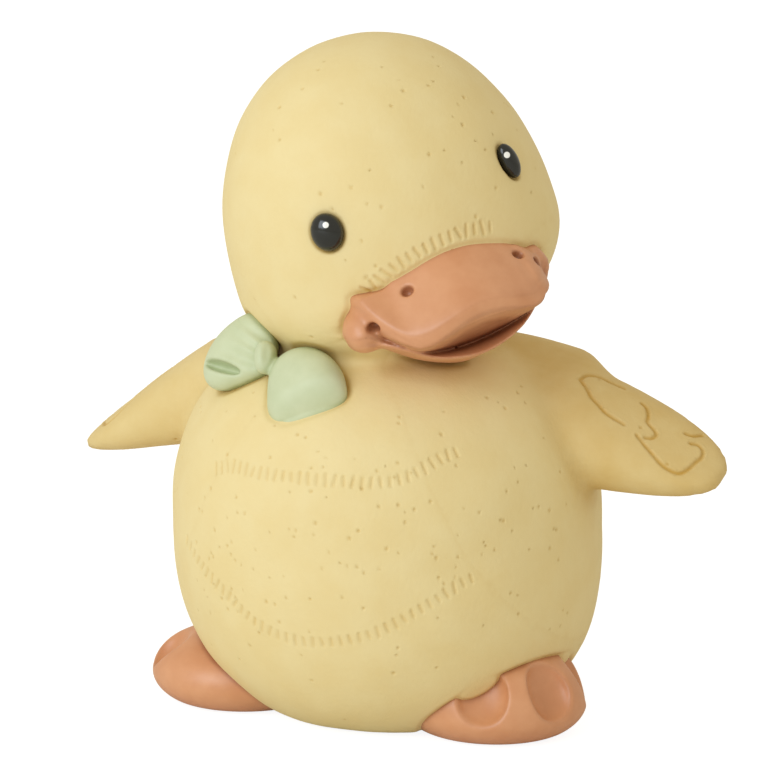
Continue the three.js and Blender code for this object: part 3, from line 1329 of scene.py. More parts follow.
def mixed(
    tree: bpy.types.NodeTree, share: object, one: object, other: object
) -> bpy.types.NodeSocket:
    """Mixes two colours.

    Args:
        tree: the tree.
        share: the share of the second colour, from 0 to 1.
        one: the first colour, or the output that gives it.
        other: the second colour, or the output that gives it.

    Returns:
        The output that gives the mixed colour.
    """
    links = {0: share, 6: one, 7: other}
    return add(tree, "ShaderNodeMix", links, data_type="RGBA").outputs[2]


def blank_material(name: str) -> tuple[bpy.types.Material, bpy.types.NodeTree]:
    """A new material and its empty tree."""
    made = bpy.data.materials.new(name)
    made.use_nodes = True
    made.node_tree.nodes.clear()
    return made, made.node_tree


@dataclass(frozen=True)
class CastPaint:
    """Acrylic paint brushed on cast polyresin: even and matt, with painted shade in its creases.

    Attributes:
        name: the material's name.
        colour: the paint.
        tone: a slightly different tone of it that the brush leaves in soft patches.
        wash: the darker colour painted in as shade, in creases, recesses and dents.
        roughness: how matt it is.
        gloss: strength of its reflection.
        patch: size of the soft patches, in millimetres.
        grain: size of the cast surface's grain. It is drawn coarser than the real 0.1 mm to show.
        grain_depth: height of the grain, in millimetres.
        hold: how much of the painted shade is kept where the patches are thinnest.
        uneven: how far the grain moves the roughness up and down.
    """

    name: str
    colour: str
    tone: str
    wash: str
    roughness: float = 0.62
    gloss: float = 0.35
    patch: float = 6.0
    grain: float = 0.45
    grain_depth: float = 0.02
    hold: float = 0.7
    uneven: float = 0.06

    def material(self) -> bpy.types.Material:
        """The finish as a material."""
        made, tree = blank_material(self.name)
        place = add(tree, "ShaderNodeTexCoord", {}).outputs["Object"]
        soft = {"Vector": place, "Scale": 1 / (self.patch * MM), "Detail": 3.0, "Roughness": 0.55}
        patches = add(tree, "ShaderNodeTexNoise", soft).outputs["Fac"]
        spread = {"Value": patches, "From Min": 0.35, "From Max": 0.65}
        share = add(tree, "ShaderNodeMapRange", spread).outputs["Result"]
        paint = mixed(tree, share, linear(self.colour), linear(self.tone))
        # Painted shade: the stored share darkens the paint towards its shade colour, broken up by
        # the patches.
        shade_amount = add(tree, "ShaderNodeAttribute", {}, attribute_name="wash").outputs["Fac"]
        held = add(tree, "ShaderNodeMath", {0: patches, 1: self.hold}, operation="ADD").outputs[0]
        broken = {0: shade_amount, 1: held}
        stain = add(tree, "ShaderNodeMath", broken, operation="MULTIPLY", use_clamp=True).outputs[0]
        colour = mixed(tree, stain, paint, linear(self.wash))
        fine = {"Vector": place, "Scale": 1 / (self.grain * MM), "Detail": 4.0, "Roughness": 0.6}
        grain = add(tree, "ShaderNodeTexNoise", fine).outputs["Fac"]
        bump = {"Height": grain, "Strength": 1.0, "Distance": self.grain_depth * MM}
        normal = add(tree, "ShaderNodeBump", bump).outputs["Normal"]
        sheen = {"Value": grain, "To Min": self.roughness - self.uneven}
        sheen["To Max"] = self.roughness + self.uneven
        rough = add(tree, "ShaderNodeMapRange", sheen).outputs["Result"]
        body = {"Base Color": colour, "Roughness": rough, "Normal": normal}
        body["Specular IOR Level"] = self.gloss
        shader = add(tree, "ShaderNodeBsdfPrincipled", body).outputs["BSDF"]
        add(tree, "ShaderNodeOutputMaterial", {"Surface": shader})
        return made


@dataclass(frozen=True)
class GlossEnamel:
    """Black gloss enamel, as dropped on a figurine's eye, with one touch of white on it.

    Attributes:
        name: the material's name.
        centre: where the white is, in millimetres.
        radius: its radius.
        colour: the enamel.
        haze: a slightly paler tone of it, in faint clouds.
        haze_scale: how fine the clouds are. They are about 1 mm across.
        dot: the touch of white.
        edge: where its edge starts and stops to fade, as shares of the radius.
        roughness: how sharp its reflections are.
        gloss: strength of its reflections.
    """

    name: str
    centre: Sequence[float]
    radius: float
    colour: str = "121412"
    haze: str = "1d1f1b"
    haze_scale: float = 900.0
    dot: str = "f7f7f2"
    edge: Sequence[float] = (0.85, 1.1)
    roughness: float = 0.16
    gloss: float = 0.6

    def material(self) -> bpy.types.Material:
        """The finish as a material."""
        made, tree = blank_material(self.name)
        place = add(tree, "ShaderNodeTexCoord", {}).outputs["Object"]
        centre = tuple(value * MM for value in self.centre)
        away = add(tree, "ShaderNodeVectorMath", {0: place, 1: centre}, operation="DISTANCE")
        inner, outer = self.edge
        edge = {"Value": away.outputs["Value"], "From Min": self.radius * MM * inner}
        edge.update({"From Max": self.radius * MM * outer, "To Min": 1.0, "To Max": 0.0})
        share = add(tree, "ShaderNodeMapRange", edge, interpolation_type="SMOOTHSTEP")
        cloud = {"Vector": place, "Scale": self.haze_scale, "Detail": 2.0}
        faint = add(tree, "ShaderNodeTexNoise", cloud).outputs["Fac"]
        deep = mixed(tree, faint, linear(self.colour), linear(self.haze))
        colour = mixed(tree, share.outputs["Result"], deep, linear(self.dot))
        body = {"Base Color": colour, "Roughness": self.roughness}
        body["Specular IOR Level"] = self.gloss
        shader = add(tree, "ShaderNodeBsdfPrincipled", body).outputs["BSDF"]
        add(tree, "ShaderNodeOutputMaterial", {"Surface": shader})
        return made


@dataclass(frozen=True)
class CreaseShade:
    """Painted shade: darker paint laid in the creases and kept off the open faces.

    Attributes:
        tight: how far off a sharp crease is felt, in millimetres.
        tight_share: how much painted shade lies at the bottom of a sharp crease, from 0 to 1.
        wide: how far off a broad hollow is felt.
        wide_share: how much painted shade lies at the bottom of a broad hollow.
        power: how fast it fades out of both.
    """

    tight: float = 0.8
    tight_share: float = 0.4
    wide: float = 3.0
    wide_share: float = 0.1
    power: float = 1.5

    def at(self, form: Field, points: Points, way: Points) -> np.ndarray:
        """How much painted shade lies at points.

        Args:
            form: everything that may stand near.
            points: points on a surface.
            way: the way out of the surface at each.

        Returns:
            A share from 0 to 1 for each.
        """
        tight = hollow(form, points, way, self.tight)
        wide = hollow(form, points, way, self.wide)
        return self.tight_share * tight**self.power + self.wide_share * wide**self.power


@dataclass(frozen=True)
class ShadedPlace:
    """A place where more painted shade is laid.

    Attributes:
        place: the place, as a form.
        share: how much more painted shade is laid in it, from 0 to 1.
        soft: how softly it ends, in millimetres.
    """

    place: Field
    share: float
    soft: float

    def at(self, points: Points) -> np.ndarray:
        """How much more painted shade is laid at points."""
        return self.share * np.clip(0.5 - self.place(points) / self.soft, 0, 1)


# The third colour of each paint is its painted shade, laid into creases, recesses and dents.
# The yellow is the mattest, and the grain of the cast shows through it.
YELLOW = CastPaint("matt_yellow_paint", "ecd9a2", "ead59b", "c8a04c", grain=0.8, grain_depth=0.06)
# The coral of bill and feet is smoother and has a soft sheen on its rounded edges.
CORAL = CastPaint("satin_coral_paint", "dc9f74", "d49468", "8a4a28", 0.42, 0.65, 5.0, 0.5, 0.012)
# The green of the bow lies between them.
GREEN = CastPaint("satin_green_paint", "ced6b2", "c7d0aa", "93a46c", 0.5, 0.5, 4.0, 0.5, 0.01)


class Target(Enum):
    """What a press tree measures its distance from."""

    LINES = "EDGES"
    PRICKS = "POINTS"


def new_tree(name: str, inputs: dict) -> tuple[bpy.types.NodeTree, bpy.types.Node]:
    """An empty geometry tree.

    Args:
        name: its name.
        inputs: for each named input, its socket type.

    Returns:
        The tree and its input node.
    """
    tree = bpy.data.node_groups.new(name, "GeometryNodeTree")
    tree.interface.new_socket("Geometry", in_out="OUTPUT", socket_type="NodeSocketGeometry")
    tree.interface.new_socket("Geometry", in_out="INPUT", socket_type="NodeSocketGeometry")
    for label, kind in inputs.items():
        tree.interface.new_socket(label, in_out="INPUT", socket_type=kind)
    return tree, add(tree, "NodeGroupInput", {})


def close_tree(tree: bpy.types.NodeTree, geometry: bpy.types.NodeSocket, paint: object) -> None:
    """Ends a tree: makes copies real, sets the material and gives the result out.

    Args:
        tree: the tree.
        geometry: the output that gives the shape.
        paint: its material.
    """
    real = add(tree, "GeometryNodeRealizeInstances", {"Geometry": geometry}).outputs[0]
    dressed = add(tree, "GeometryNodeSetMaterial", {"Geometry": real, "Material": paint}).outputs[0]
    add(tree, "NodeGroupOutput", {"Geometry": dressed})


def apply_tree(made: bpy.types.Object, tree: bpy.types.NodeTree, values: dict) -> None:
    """Runs a tree on an object and keeps the result as its plain mesh.

    Args:
        made: the object.
        tree: the tree.
        values: for each named input, its value.
    """
    modifier = made.modifiers.new(tree.name, "NODES")
    modifier.node_group = tree
    for item in tree.interface.items_tree:
        if item.item_type == "SOCKET" and item.in_out == "INPUT" and item.name in values:
            modifier[item.identifier] = values[item.name]
    bpy.context.view_layer.update()
    graph = bpy.context.evaluated_depsgraph_get()
    result = bpy.data.meshes.new_from_object(made.evaluated_get(graph))
    made.modifiers.remove(modifier)
    old = made.data
    made.data = result
    bpy.data.meshes.remove(old)


def tick_tree(paint: bpy.types.Material) -> bpy.types.NodeTree:
    """A tree that sets short strokes across a guide line, as a modelling tool leaves them.

    Args:
        paint: the material of the strokes.

    Returns:
        The tree.
    """
    # How far a stroke's way is shaken, and the shares of the given length that it may have.
    shake_by, shortest, longest = 0.22, 0.75, 1.15
    inputs = {"Skin": "NodeSocketObject", "Pitch": "NodeSocketFloat", "Length": "NodeSocketFloat"}
    inputs["Seed"] = "NodeSocketInt"
    tree, given = new_tree("strokes_across_a_line", inputs)
    guide = add(tree, "GeometryNodeMeshToCurve", {"Mesh": given.outputs["Geometry"]}).outputs[0]
    spaced = {"Curve": guide, "Length": given.outputs["Pitch"]}
    line = add(tree, "GeometryNodeResampleCurve", spaced, mode="LENGTH").outputs[0]
    skin = add(tree, "GeometryNodeObjectInfo", {"Object": given.outputs["Skin"]})
    normal = add(tree, "GeometryNodeInputNormal", {}).outputs[0]
    read = {"Mesh": skin.outputs["Geometry"], "Value": normal}
    out = add(tree, "GeometryNodeSampleNearestSurface", read, data_type="FLOAT_VECTOR").outputs[0]
    tangent = add(tree, "GeometryNodeInputTangent", {}).outputs[0]
    across = add(tree, "ShaderNodeVectorMath", {0: tangent, 1: out}, operation="CROSS_PRODUCT")
    jitter = {0: (-shake_by,) * 3, 1: (shake_by,) * 3, "Seed": given.outputs["Seed"]}
    shake = add(tree, "FunctionNodeRandomValue", jitter, data_type="FLOAT_VECTOR").outputs[0]
    way = add(tree, "ShaderNodeVectorMath", {0: across.outputs[0], 1: shake}, operation="ADD")
    facing = {"Vector": way.outputs[0]}
    turn = add(tree, "FunctionNodeAlignRotationToVector", facing, axis="X").outputs[0]
    half = add(tree, "ShaderNodeMath", {0: given.outputs["Length"], 1: 0.5}, operation="MULTIPLY")
    end = add(tree, "ShaderNodeCombineXYZ", {"X": half.outputs[0]}).outputs[0]
    back = add(tree, "ShaderNodeVectorMath", {0: end, "Scale": -1.0}, operation="SCALE").outputs[0]
    ends = {"Count": 4, "Start Location": back, "Offset": end}
    stroke = add(tree, "GeometryNodeMeshLine", ends, mode="END_POINTS").outputs[0]
    vary = {2: shortest, 3: longest, "Seed": given.outputs["Seed"]}
    scale = add(tree, "FunctionNodeRandomValue", vary, data_type="FLOAT").outputs[1]
    laid = {"Points": line, "Instance": stroke, "Rotation": turn, "Scale": scale}
    strokes = add(tree, "GeometryNodeInstanceOnPoints", laid).outputs[0]
    close_tree(tree, strokes, paint)
    return tree


def prick_tree(paint: bpy.types.Material) -> bpy.types.NodeTree:
    """A tree that scatters points over a surface where it is marked as pricked.

    Args:
        paint: the material of the points.

    Returns:
        The tree.
    """
    smallest, largest = 0.5, 1.15
    tree, given = new_tree("pricks", {"Density": "NodeSocketFloat", "Seed": "NodeSocketInt"})
    named = add(tree, "GeometryNodeInputNamedAttribute", {"Name": "pricked"}, data_type="FLOAT")
    share = {0: named.outputs[0], 1: given.outputs["Density"]}
    density = add(tree, "ShaderNodeMath", share, operation="MULTIPLY").outputs[0]
    spread = {"Mesh": given.outputs["Geometry"], "Density": density, "Seed": given.outputs["Seed"]}
    found = add(tree, "GeometryNodeDistributePointsOnFaces", spread).outputs["Points"]
    vary = {2: smallest, 3: largest, "Seed": given.outputs["Seed"]}
    size = add(tree, "FunctionNodeRandomValue", vary, data_type="FLOAT").outputs[1]
    sized = {"Geometry": found, "Name": "size", "Value": size}
    kept = add(tree, "GeometryNodeStoreNamedAttribute", sized, data_type="FLOAT").outputs[0]
    points = add(tree, "GeometryNodePointsToVertices", {"Points": kept}).outputs[0]
    close_tree(tree, points, paint)
    return tree


def press_tree(paint: bpy.types.Material, target: Target) -> bpy.types.NodeTree:
    """A tree that presses marks into a surface, raises a slight rim and paints shade into the
    dents.

    Args:
        paint: the material of the surface.
        target: whether the marks are lines or points.

    Returns:
        The tree.
    """
    # In half widths of a mark: its flat bottom, and how far out its rim stands and is felt.
    flat, rim_at, rim_reach = 0.15, 1.25, 0.55
    inputs = {"Marks": "NodeSocketObject"}
    inputs.update({name: "NodeSocketFloat" for name in ("Width", "Depth", "Rim", "Stain")})
    tree, given = new_tree("pressed_" + target.name.lower(), inputs)
    marked = add(tree, "GeometryNodeObjectInfo", {"Object": given.outputs["Marks"]})
    marks = marked.outputs["Geometry"]
    near = add(tree, "GeometryNodeProximity", {0: marks}, target_element=target.value)
    width = given.outputs["Width"]
    if target is Target.PRICKS:
        index = add(tree, "GeometryNodeSampleNearest", {"Geometry": marks}, domain="POINT")
        named = add(tree, "GeometryNodeInputNamedAttribute", {"Name": "size"}, data_type="FLOAT")
        read = {"Geometry": marks, "Value": named.outputs[0], "Index": index.outputs[0]}
        size = add(tree, "GeometryNodeSampleIndex", read, data_type="FLOAT").outputs[0]
        width = add(tree, "ShaderNodeMath", {0: width, 1: size}, operation="MULTIPLY").outputs[0]
    ratio = {0: near.outputs["Distance"], 1: width}
    off = add(tree, "ShaderNodeMath", ratio, operation="DIVIDE").outputs[0]
    falling = {"Value": off, "From Min": flat, "From Max": 1.0, "To Min": 1.0, "To Max": 0.0}
    dent = add(tree, "ShaderNodeMapRange", falling, interpolation_type="SMOOTHSTEP").outputs[0]
    from_rim = add(tree, "ShaderNodeMath", {0: off, 1: rim_at}, operation="SUBTRACT").outputs[0]
    beside = add(tree, "ShaderNodeMath", {0: from_rim}, operation="ABSOLUTE").outputs[0]
    rim_fall = {"Value": beside, "From Max": rim_reach, "To Min": 1.0, "To Max": 0.0}
    rim = add(tree, "ShaderNodeMapRange", rim_fall, interpolation_type="SMOOTHSTEP").outputs[0]
    down = add(tree, "ShaderNodeMath", {0: dent, 1: given.outputs["Depth"]}, operation="MULTIPLY")
    up = add(tree, "ShaderNodeMath", {0: rim, 1: given.outputs["Rim"]}, operation="MULTIPLY")
    move = add(tree, "ShaderNodeMath", {0: up.outputs[0], 1: down.outputs[0]}, operation="SUBTRACT")
    normal = add(tree, "GeometryNodeInputNormal", {}).outputs[0]
    scaled = {0: normal, "Scale": move.outputs[0]}
    offset = add(tree, "ShaderNodeVectorMath", scaled, operation="SCALE").outputs[0]
    # Painted shade: each dent adds to the stored share, which darkens the paint in it.
    old = add(tree, "GeometryNodeInputNamedAttribute", {"Name": "wash"}, data_type="FLOAT")
    more = {0: dent, 1: given.outputs["Stain"], 2: old.outputs[0]}
    stain = add(tree, "ShaderNodeMath", more, operation="MULTIPLY_ADD", use_clamp=True).outputs[0]
    with_shade = {"Geometry": given.outputs["Geometry"], "Name": "wash", "Value": stain}
    kept = add(tree, "GeometryNodeStoreNamedAttribute", with_shade, data_type="FLOAT").outputs[0]
    moved = add(tree, "GeometryNodeSetPosition", {"Geometry": kept, "Offset": offset}).outputs[0]
    close_tree(tree, moved, paint)
    return tree


@dataclass(frozen=True)
class Press:
    """How a tool is pressed into the skin.

    Attributes:
        depth: how deep it goes, in millimetres.
        width: half the width of its mark, in millimetres.
        rim: how high the rim around the mark is raised, in millimetres.
        shade: how much more painted shade is laid in the mark, from 0 to 1.
    """

    depth: float
    width: float
    rim: float
    stain: float

    def into(
        self, made: bpy.types.Object, tree: bpy.types.NodeTree, marks: bpy.types.Object
    ) -> None:
        """Presses marks into a surface.

        Args:
            made: the object whose surface is marked.
            tree: the press tree for this kind of mark.
            marks: the marks, as an object.
        """
        values = {"Marks": marks, "Width": self.width * MM, "Depth": self.depth * MM}
        values.update({"Rim": self.rim * MM, "Stain": self.stain})
        apply_tree(made, tree, values)


@dataclass(frozen=True)
class TickRow:
    """A row of short strokes across a line.

    Attributes:
        name: the row's name.
        places: places on the line, in the figurine's frame.
        pitch: from one stroke to the next, in millimetres.
        length: length of a stroke.
        press: how the strokes are pressed in.
    """

    name: str
    places: Points
    pitch: float
    length: float
    press: Press


@dataclass(frozen=True)
class Markings:
    """The marks that a hand tool left in the skin: rows of ticks, pinholes and feather outlines.

    The rows on the belly are angles round the body and heights, the row over the bill is places
    across the face, and the feathers are lines on the face of a wing, in its frame. The clusters
    are angles, heights and spreads of places with many pinholes, and the shares say how densely
    the rest of the body, the front of the head and all other places are pricked. The density is
    for a square metre.
    """

    trunk: Trunk
    head: Head
    wings: Sequence[Wing]
    upper_row: Sequence[tuple[float, float]] = (
        (-34, 39.4), (-26, 40.6), (-15, 40.4), (1, 40.5), (14, 40.4), (24, 41.0), (35, 44.1),
        (40, 45.0),
    )
    lower_row: Sequence[tuple[float, float]] = (
        (-46, 27.4), (-37, 24.4), (-27, 21.6), (-18, 18.5), (-7, 16.5), (5, 16.7), (17, 18.5),
        (26, 21.2), (37, 24.7), (42, 26.0),
    )
    bill_row: Sequence[tuple[float, float]] = (
        (-17.5, -2.2), (-14.5, 0.4), (-11.5, 2.0), (-7.5, 3.4), (-3, 4.3), (3, 4.6), (8, 3.6),
    )
    bill_row_y: float = -24.0
    feathers: Sequence[Sequence[tuple[float, float, float]]] = (
        ((0.7, 2.8, 7.0), (1.2, 4.3, 6.7), (2.8, 5.4, 6.1), (4.6, 5.5, 5.7), (6.5, 5.7, 5.1)),
        (
            (0.7, 2.8, 7.0), (2.0, 1.9, 6.8), (3.4, 0.6, 6.6), (4.8, -0.1, 6.3), (6.5, -0.9, 5.9),
            (9.2, -1.1, 5.2),
        ),
        (
            (9.8, 4.5, 4.7), (10.8, 4.0, 4.6), (11.6, 2.6, 4.6), (11.9, 1.5, 4.6), (13.0, 0.9, 4.3),
            (13.8, 0.2, 4.1), (13.6, -0.8, 4.2), (12.7, -1.4, 4.4),
        ),
        (
            (11.5, -1.7, 4.6), (12.9, -2.5, 4.2), (14.5, -3.2, 3.6), (16.1, -3.9, 3.0),
            (17.6, -4.1, 2.5), (19.0, -3.8, 2.1), (19.7, -2.3, 1.3), (20.1, -0.7, 1.0),
            (20.4, 0.4, 0.8), (20.3, 1.4, 0.9), (19.8, 2.1, 1.2), (19.1, 2.3, 1.7),
            (18.4, 1.9, 2.4),
        ),
        ((17.2, 3.2, 3.0), (18.2, 3.6, 2.5), (19.1, 4.8, 1.6)),
    )
    feather_press: Press = Press(depth=0.26, width=0.42, rim=0.06, stain=0.4)
    clusters: Sequence[tuple[float, float, float]] = (
        (-6, 37.5, 5), (-20, 31.5, 5), (9, 33, 5), (20, 38, 6), (36, 31, 6), (-9, 25, 5),
        (10, 26, 5), (20, 27.5, 5), (-28, 27, 5), (48, 33, 6), (-38, 33, 5), (2, 44, 4),
        (30, 22, 6),
    )
    cluster_stretch: float = 1.6
    prick_press: Press = Press(depth=0.2, width=0.36, rim=0.02, stain=0.35)
    density: float = 140000.0
    body_z: Sequence[float] = (12, 50)
    body_angle: float = 75
    body_share: float = 0.34
    rest_share: float = 0.03
    front_from: float = 56
    front_y: float = -4
    front_z: float = 2
    front_share: float = 0.16
    seed: int = 11

    def rows(self) -> list[TickRow]:
        """The rows of ticks: two on the belly and a deeper one over the bill."""
        belly = Press(depth=0.19, width=0.36, rim=0.03, stain=0.19)
        face = Press(depth=0.24, width=0.36, rim=0.03, stain=0.24)
        upper, lower = self.round_body(self.upper_row), self.round_body(self.lower_row)
        across = np.array([(x, self.bill_row_y, z) for x, z in self.bill_row])
        over_bill = self.head.face.outward(across)
        return [
            TickRow("upper_row", upper, pitch=1.30, length=1.5, press=belly),
            TickRow("lower_row", lower, pitch=1.35, length=1.4, press=belly),
            TickRow("bill_row", over_bill, pitch=1.25, length=1.6, press=face),
        ]

    def guide(self, name: str, form: Field, points: Points) -> bpy.types.Object:
        """A fine line over a surface through chosen points.

        Args:
            name: the line's name.
            form: the surface.
            points: chosen points near it.

        Returns:
            A mesh of edges.
        """
        line = settled(form, curve_through(points), 4)
        edges = [(i, i + 1) for i in range(len(line) - 1)]
        return object_of(name, line, [], edges)

    def feather_lines(self, form: Field) -> bpy.types.Object:
        """The outlines of the feathers on both wings.

        Args:
            form: the surface that they are laid on.

        Returns:
            A mesh of edges.
        """
        points, edges = [], []
        for wing in self.wings:
            for outline in self.feathers:
                local = np.array(outline) * (wing.side.value, 1, 1)
                line = curve_through(wing.place().outward(local), 6)
                first = len(points)
                points.extend(settled(form, line, 4))
                edges.extend((i, i + 1) for i in range(first, len(points) - 1))
        return object_of("feather_lines", np.array(points), [], edges)

    def round_body(self, row: Sequence[tuple[float, float]]) -> Points:
        """Places beside the body.

        Args:
            row: pairs of an angle round the body, in degrees, and a height.

        Returns:
            The places in the figurine's frame.
        """
        found = []
        for angle, z in row:
            way = math.radians(angle)
            reach = self.trunk.radius
            found.append((math.sin(way) * reach, -math.cos(way) * reach, z))
        return np.array(found)

    def pricked(self, points: Points) -> np.ndarray:
        """How thickly the skin is pricked.

        Args:
            points: places on the skin.

        Returns:
            A share of the greatest density for each place.
        """
        height = points[:, 2]
        angle = np.degrees(np.arctan2(points[:, 0], -points[:, 1]))
        low, high = self.body_z
        on_body = (height < high) & (np.abs(angle) < self.body_angle) & (height > low)
        share = np.where(on_body, self.body_share, self.rest_share)
        for middle, z, spread in self.clusters:
            aside = (angle - middle) / (self.cluster_stretch * spread)
            off = aside**2 + ((height - z) / spread) ** 2
            share = np.maximum(share, np.where(on_body, np.exp(-off), 0))
        local = self.head.face.inward(points)
        ahead = (local[:, 1] < self.front_y) & (local[:, 2] > self.front_z)
        return np.where((height > self.front_from) & ahead, self.front_share, share)


def curve_through(points: Points, steps: int = 8) -> Points:
    """An open smooth line through points.

    Args:
        points: rows of x, y and z.
        steps: points of the line for each given one.

    Returns:
        Points on the line.
    """
    ends = np.concatenate([[2 * points[0] - points[1]], points, [2 * points[-1] - points[-2]]])
    before, here, after, later = ends[:-3], ends[1:-2], ends[2:-1], ends[3:]
    found = []
    for t in np.arange(steps) / steps:
        line = 2 * here + (after - before) * t + (2 * before - 5 * here + 4 * after - later) * t**2
        found.append((line + (3 * here - before - 3 * after + later) * t**3) / 2)
    line = np.stack(found, axis=1).reshape(-1, points.shape[1])
    return np.concatenate([line, points[-1:]])


def facing(azimuth: float, elevation: float) -> Vector:
    """The way from the figurine to somebody who looks at it.

    Args:
        azimuth: degrees round it from the front, towards its own left.
        elevation: degrees over the table.

    Returns:
        A vector of length 1.
    """
    turn, rise = math.radians(azimuth), math.radians(elevation)
    level = math.cos(rise)
    return Vector((math.sin(turn) * level, -math.cos(turn) * level, math.sin(rise)))


def set_up(name: str, data: bpy.types.ID, at: Vector, out: Vector) -> bpy.types.Object:
    """Puts a camera or a lamp in the studio.

    Args:
        name: the object's name.
        data: the camera or the lamp.
        at: its place.
        out: the way from what it faces to it.

    Returns:
        The new object.
    """
    made = bpy.data.objects.new(name, data)
    made.location = at
    made.rotation_euler = out.to_track_quat("Z", "Y").to_euler()
    bpy.context.scene.collection.objects.link(made)
    return made


@dataclass(frozen=True)
class Lamp:
    """A soft square lamp that faces the figurine.

    It stands azimuth degrees from the front and elevation degrees up. Lengths are in metres and
    its power is in watts.
    """

    name: str
    azimuth: float
    elevation: float
    away: float
    size: float
    power: float
    colour: Sequence[float] = (0.79, 0.88, 1.0)
    aim_z: float = 0.05

    def place(self) -> None:
        """Puts it in the scene."""
        data = bpy.data.lights.new(self.name, "AREA")
        data.size = self.size
        data.energy = self.power
        data.color = self.colour
        out = facing(self.azimuth, self.elevation)
        set_up(self.name, data, Vector((0, 0, self.aim_z)) + out * self.away, out)


@dataclass(frozen=True)
class Studio:
    """A white table, soft light and a camera as far off as a product photographer stands.

    Angles are in degrees, lengths in metres, and the lens and its sensor in millimetres. The room
    has a plain level of light. The table has one colour for the figurine and another for the
    camera, with a glow, so that only a faint shadow is seen.
    """

    azimuth: float = 20.0
    elevation: float = 12.0
    away: float = 0.6
    aim_z: float = 0.0474
    aim_right: float = -0.00029
    lens: float = 193.0
    sensor: float = 36.0
    key: Lamp = Lamp("key_lamp", -24, 24, away=0.9, size=0.55, power=3.9)
    air_level: float = 0.7
    air_colour: Sequence[float] = (1.0, 0.935, 0.79, 1)
    table_side: float = 4.0
    table_colour: Sequence[float] = (0.85, 0.84, 0.8, 1)
    table_seen: Sequence[float] = (0.3, 0.3, 0.3, 1)
    table_glow: float = 0.9

    def camera(self) -> None:
        """Places the camera and makes it the scene's own."""
        turn = math.radians(self.azimuth)
        right = Vector((math.cos(turn), math.sin(turn), 0))
        out = facing(self.azimuth, self.elevation)
        aim = Vector((0, 0, self.aim_z)) + right * self.aim_right
        data = bpy.data.cameras.new("camera")
        data.lens = self.lens
        data.sensor_width = self.sensor
        bpy.context.scene.camera = set_up("camera", data, aim + out * self.away, out)

    def table(self) -> None:
        """A wide white table top that keeps only a faint shadow."""
        side = self.table_side
        corners = [(-side, -side, 0), (side, -side, 0), (side, side, 0), (-side, side, 0)]
        mesh = bpy.data.meshes.new("table")
        mesh.from_pydata(corners, [], [(0, 1, 2, 3)])
        table = bpy.data.objects.new("table", mesh)
        bpy.context.scene.collection.objects.link(table)
        paper, tree = blank_material("white_paper")
        matt = add(tree, "ShaderNodeBsdfDiffuse", {"Color": self.table_colour}).outputs[0]
        seen = add(tree, "ShaderNodeBsdfDiffuse", {"Color": self.table_seen}).outputs[0]
        glow = add(tree, "ShaderNodeEmission", {"Strength": self.table_glow}).outputs[0]
        bright = add(tree, "ShaderNodeAddShader", {0: seen, 1: glow}).outputs[0]
        ray = add(tree, "ShaderNodeLightPath", {}).outputs["Is Camera Ray"]
        both = add(tree, "ShaderNodeMixShader", {0: ray, 1: matt, 2: bright}).outputs[0]
        add(tree, "ShaderNodeOutputMaterial", {"Surface": both})
        mesh.materials.append(paper)

    def air(self) -> None:
        """White surroundings: full white to the camera, and a plain level for the light."""
        world = bpy.data.worlds.new("white_room")
        bpy.context.scene.world = world
        world.use_nodes = True
        tree = world.node_tree
        tree.nodes.clear()
        level = {"Color": self.air_colour, "Strength": self.air_level}
        fill = add(tree, "ShaderNodeBackground", level).outputs[0]
        full = {"Color": (1, 1, 1, 1), "Strength": 1.0}
        white = add(tree, "ShaderNodeBackground", full).outputs[0]
        ray = add(tree, "ShaderNodeLightPath", {}).outputs["Is Camera Ray"]
        both = add(tree, "ShaderNodeMixShader", {0: ray, 1: fill, 2: white}).outputs[0]
        add(tree, "ShaderNodeOutputWorld", {"Surface": both})

    def light(self) -> None:
        """The room's own light, the lamp, and colours shown as they are written."""
        self.air()
        self.key.place()
        bpy.context.scene.view_settings.view_transform = "Standard"


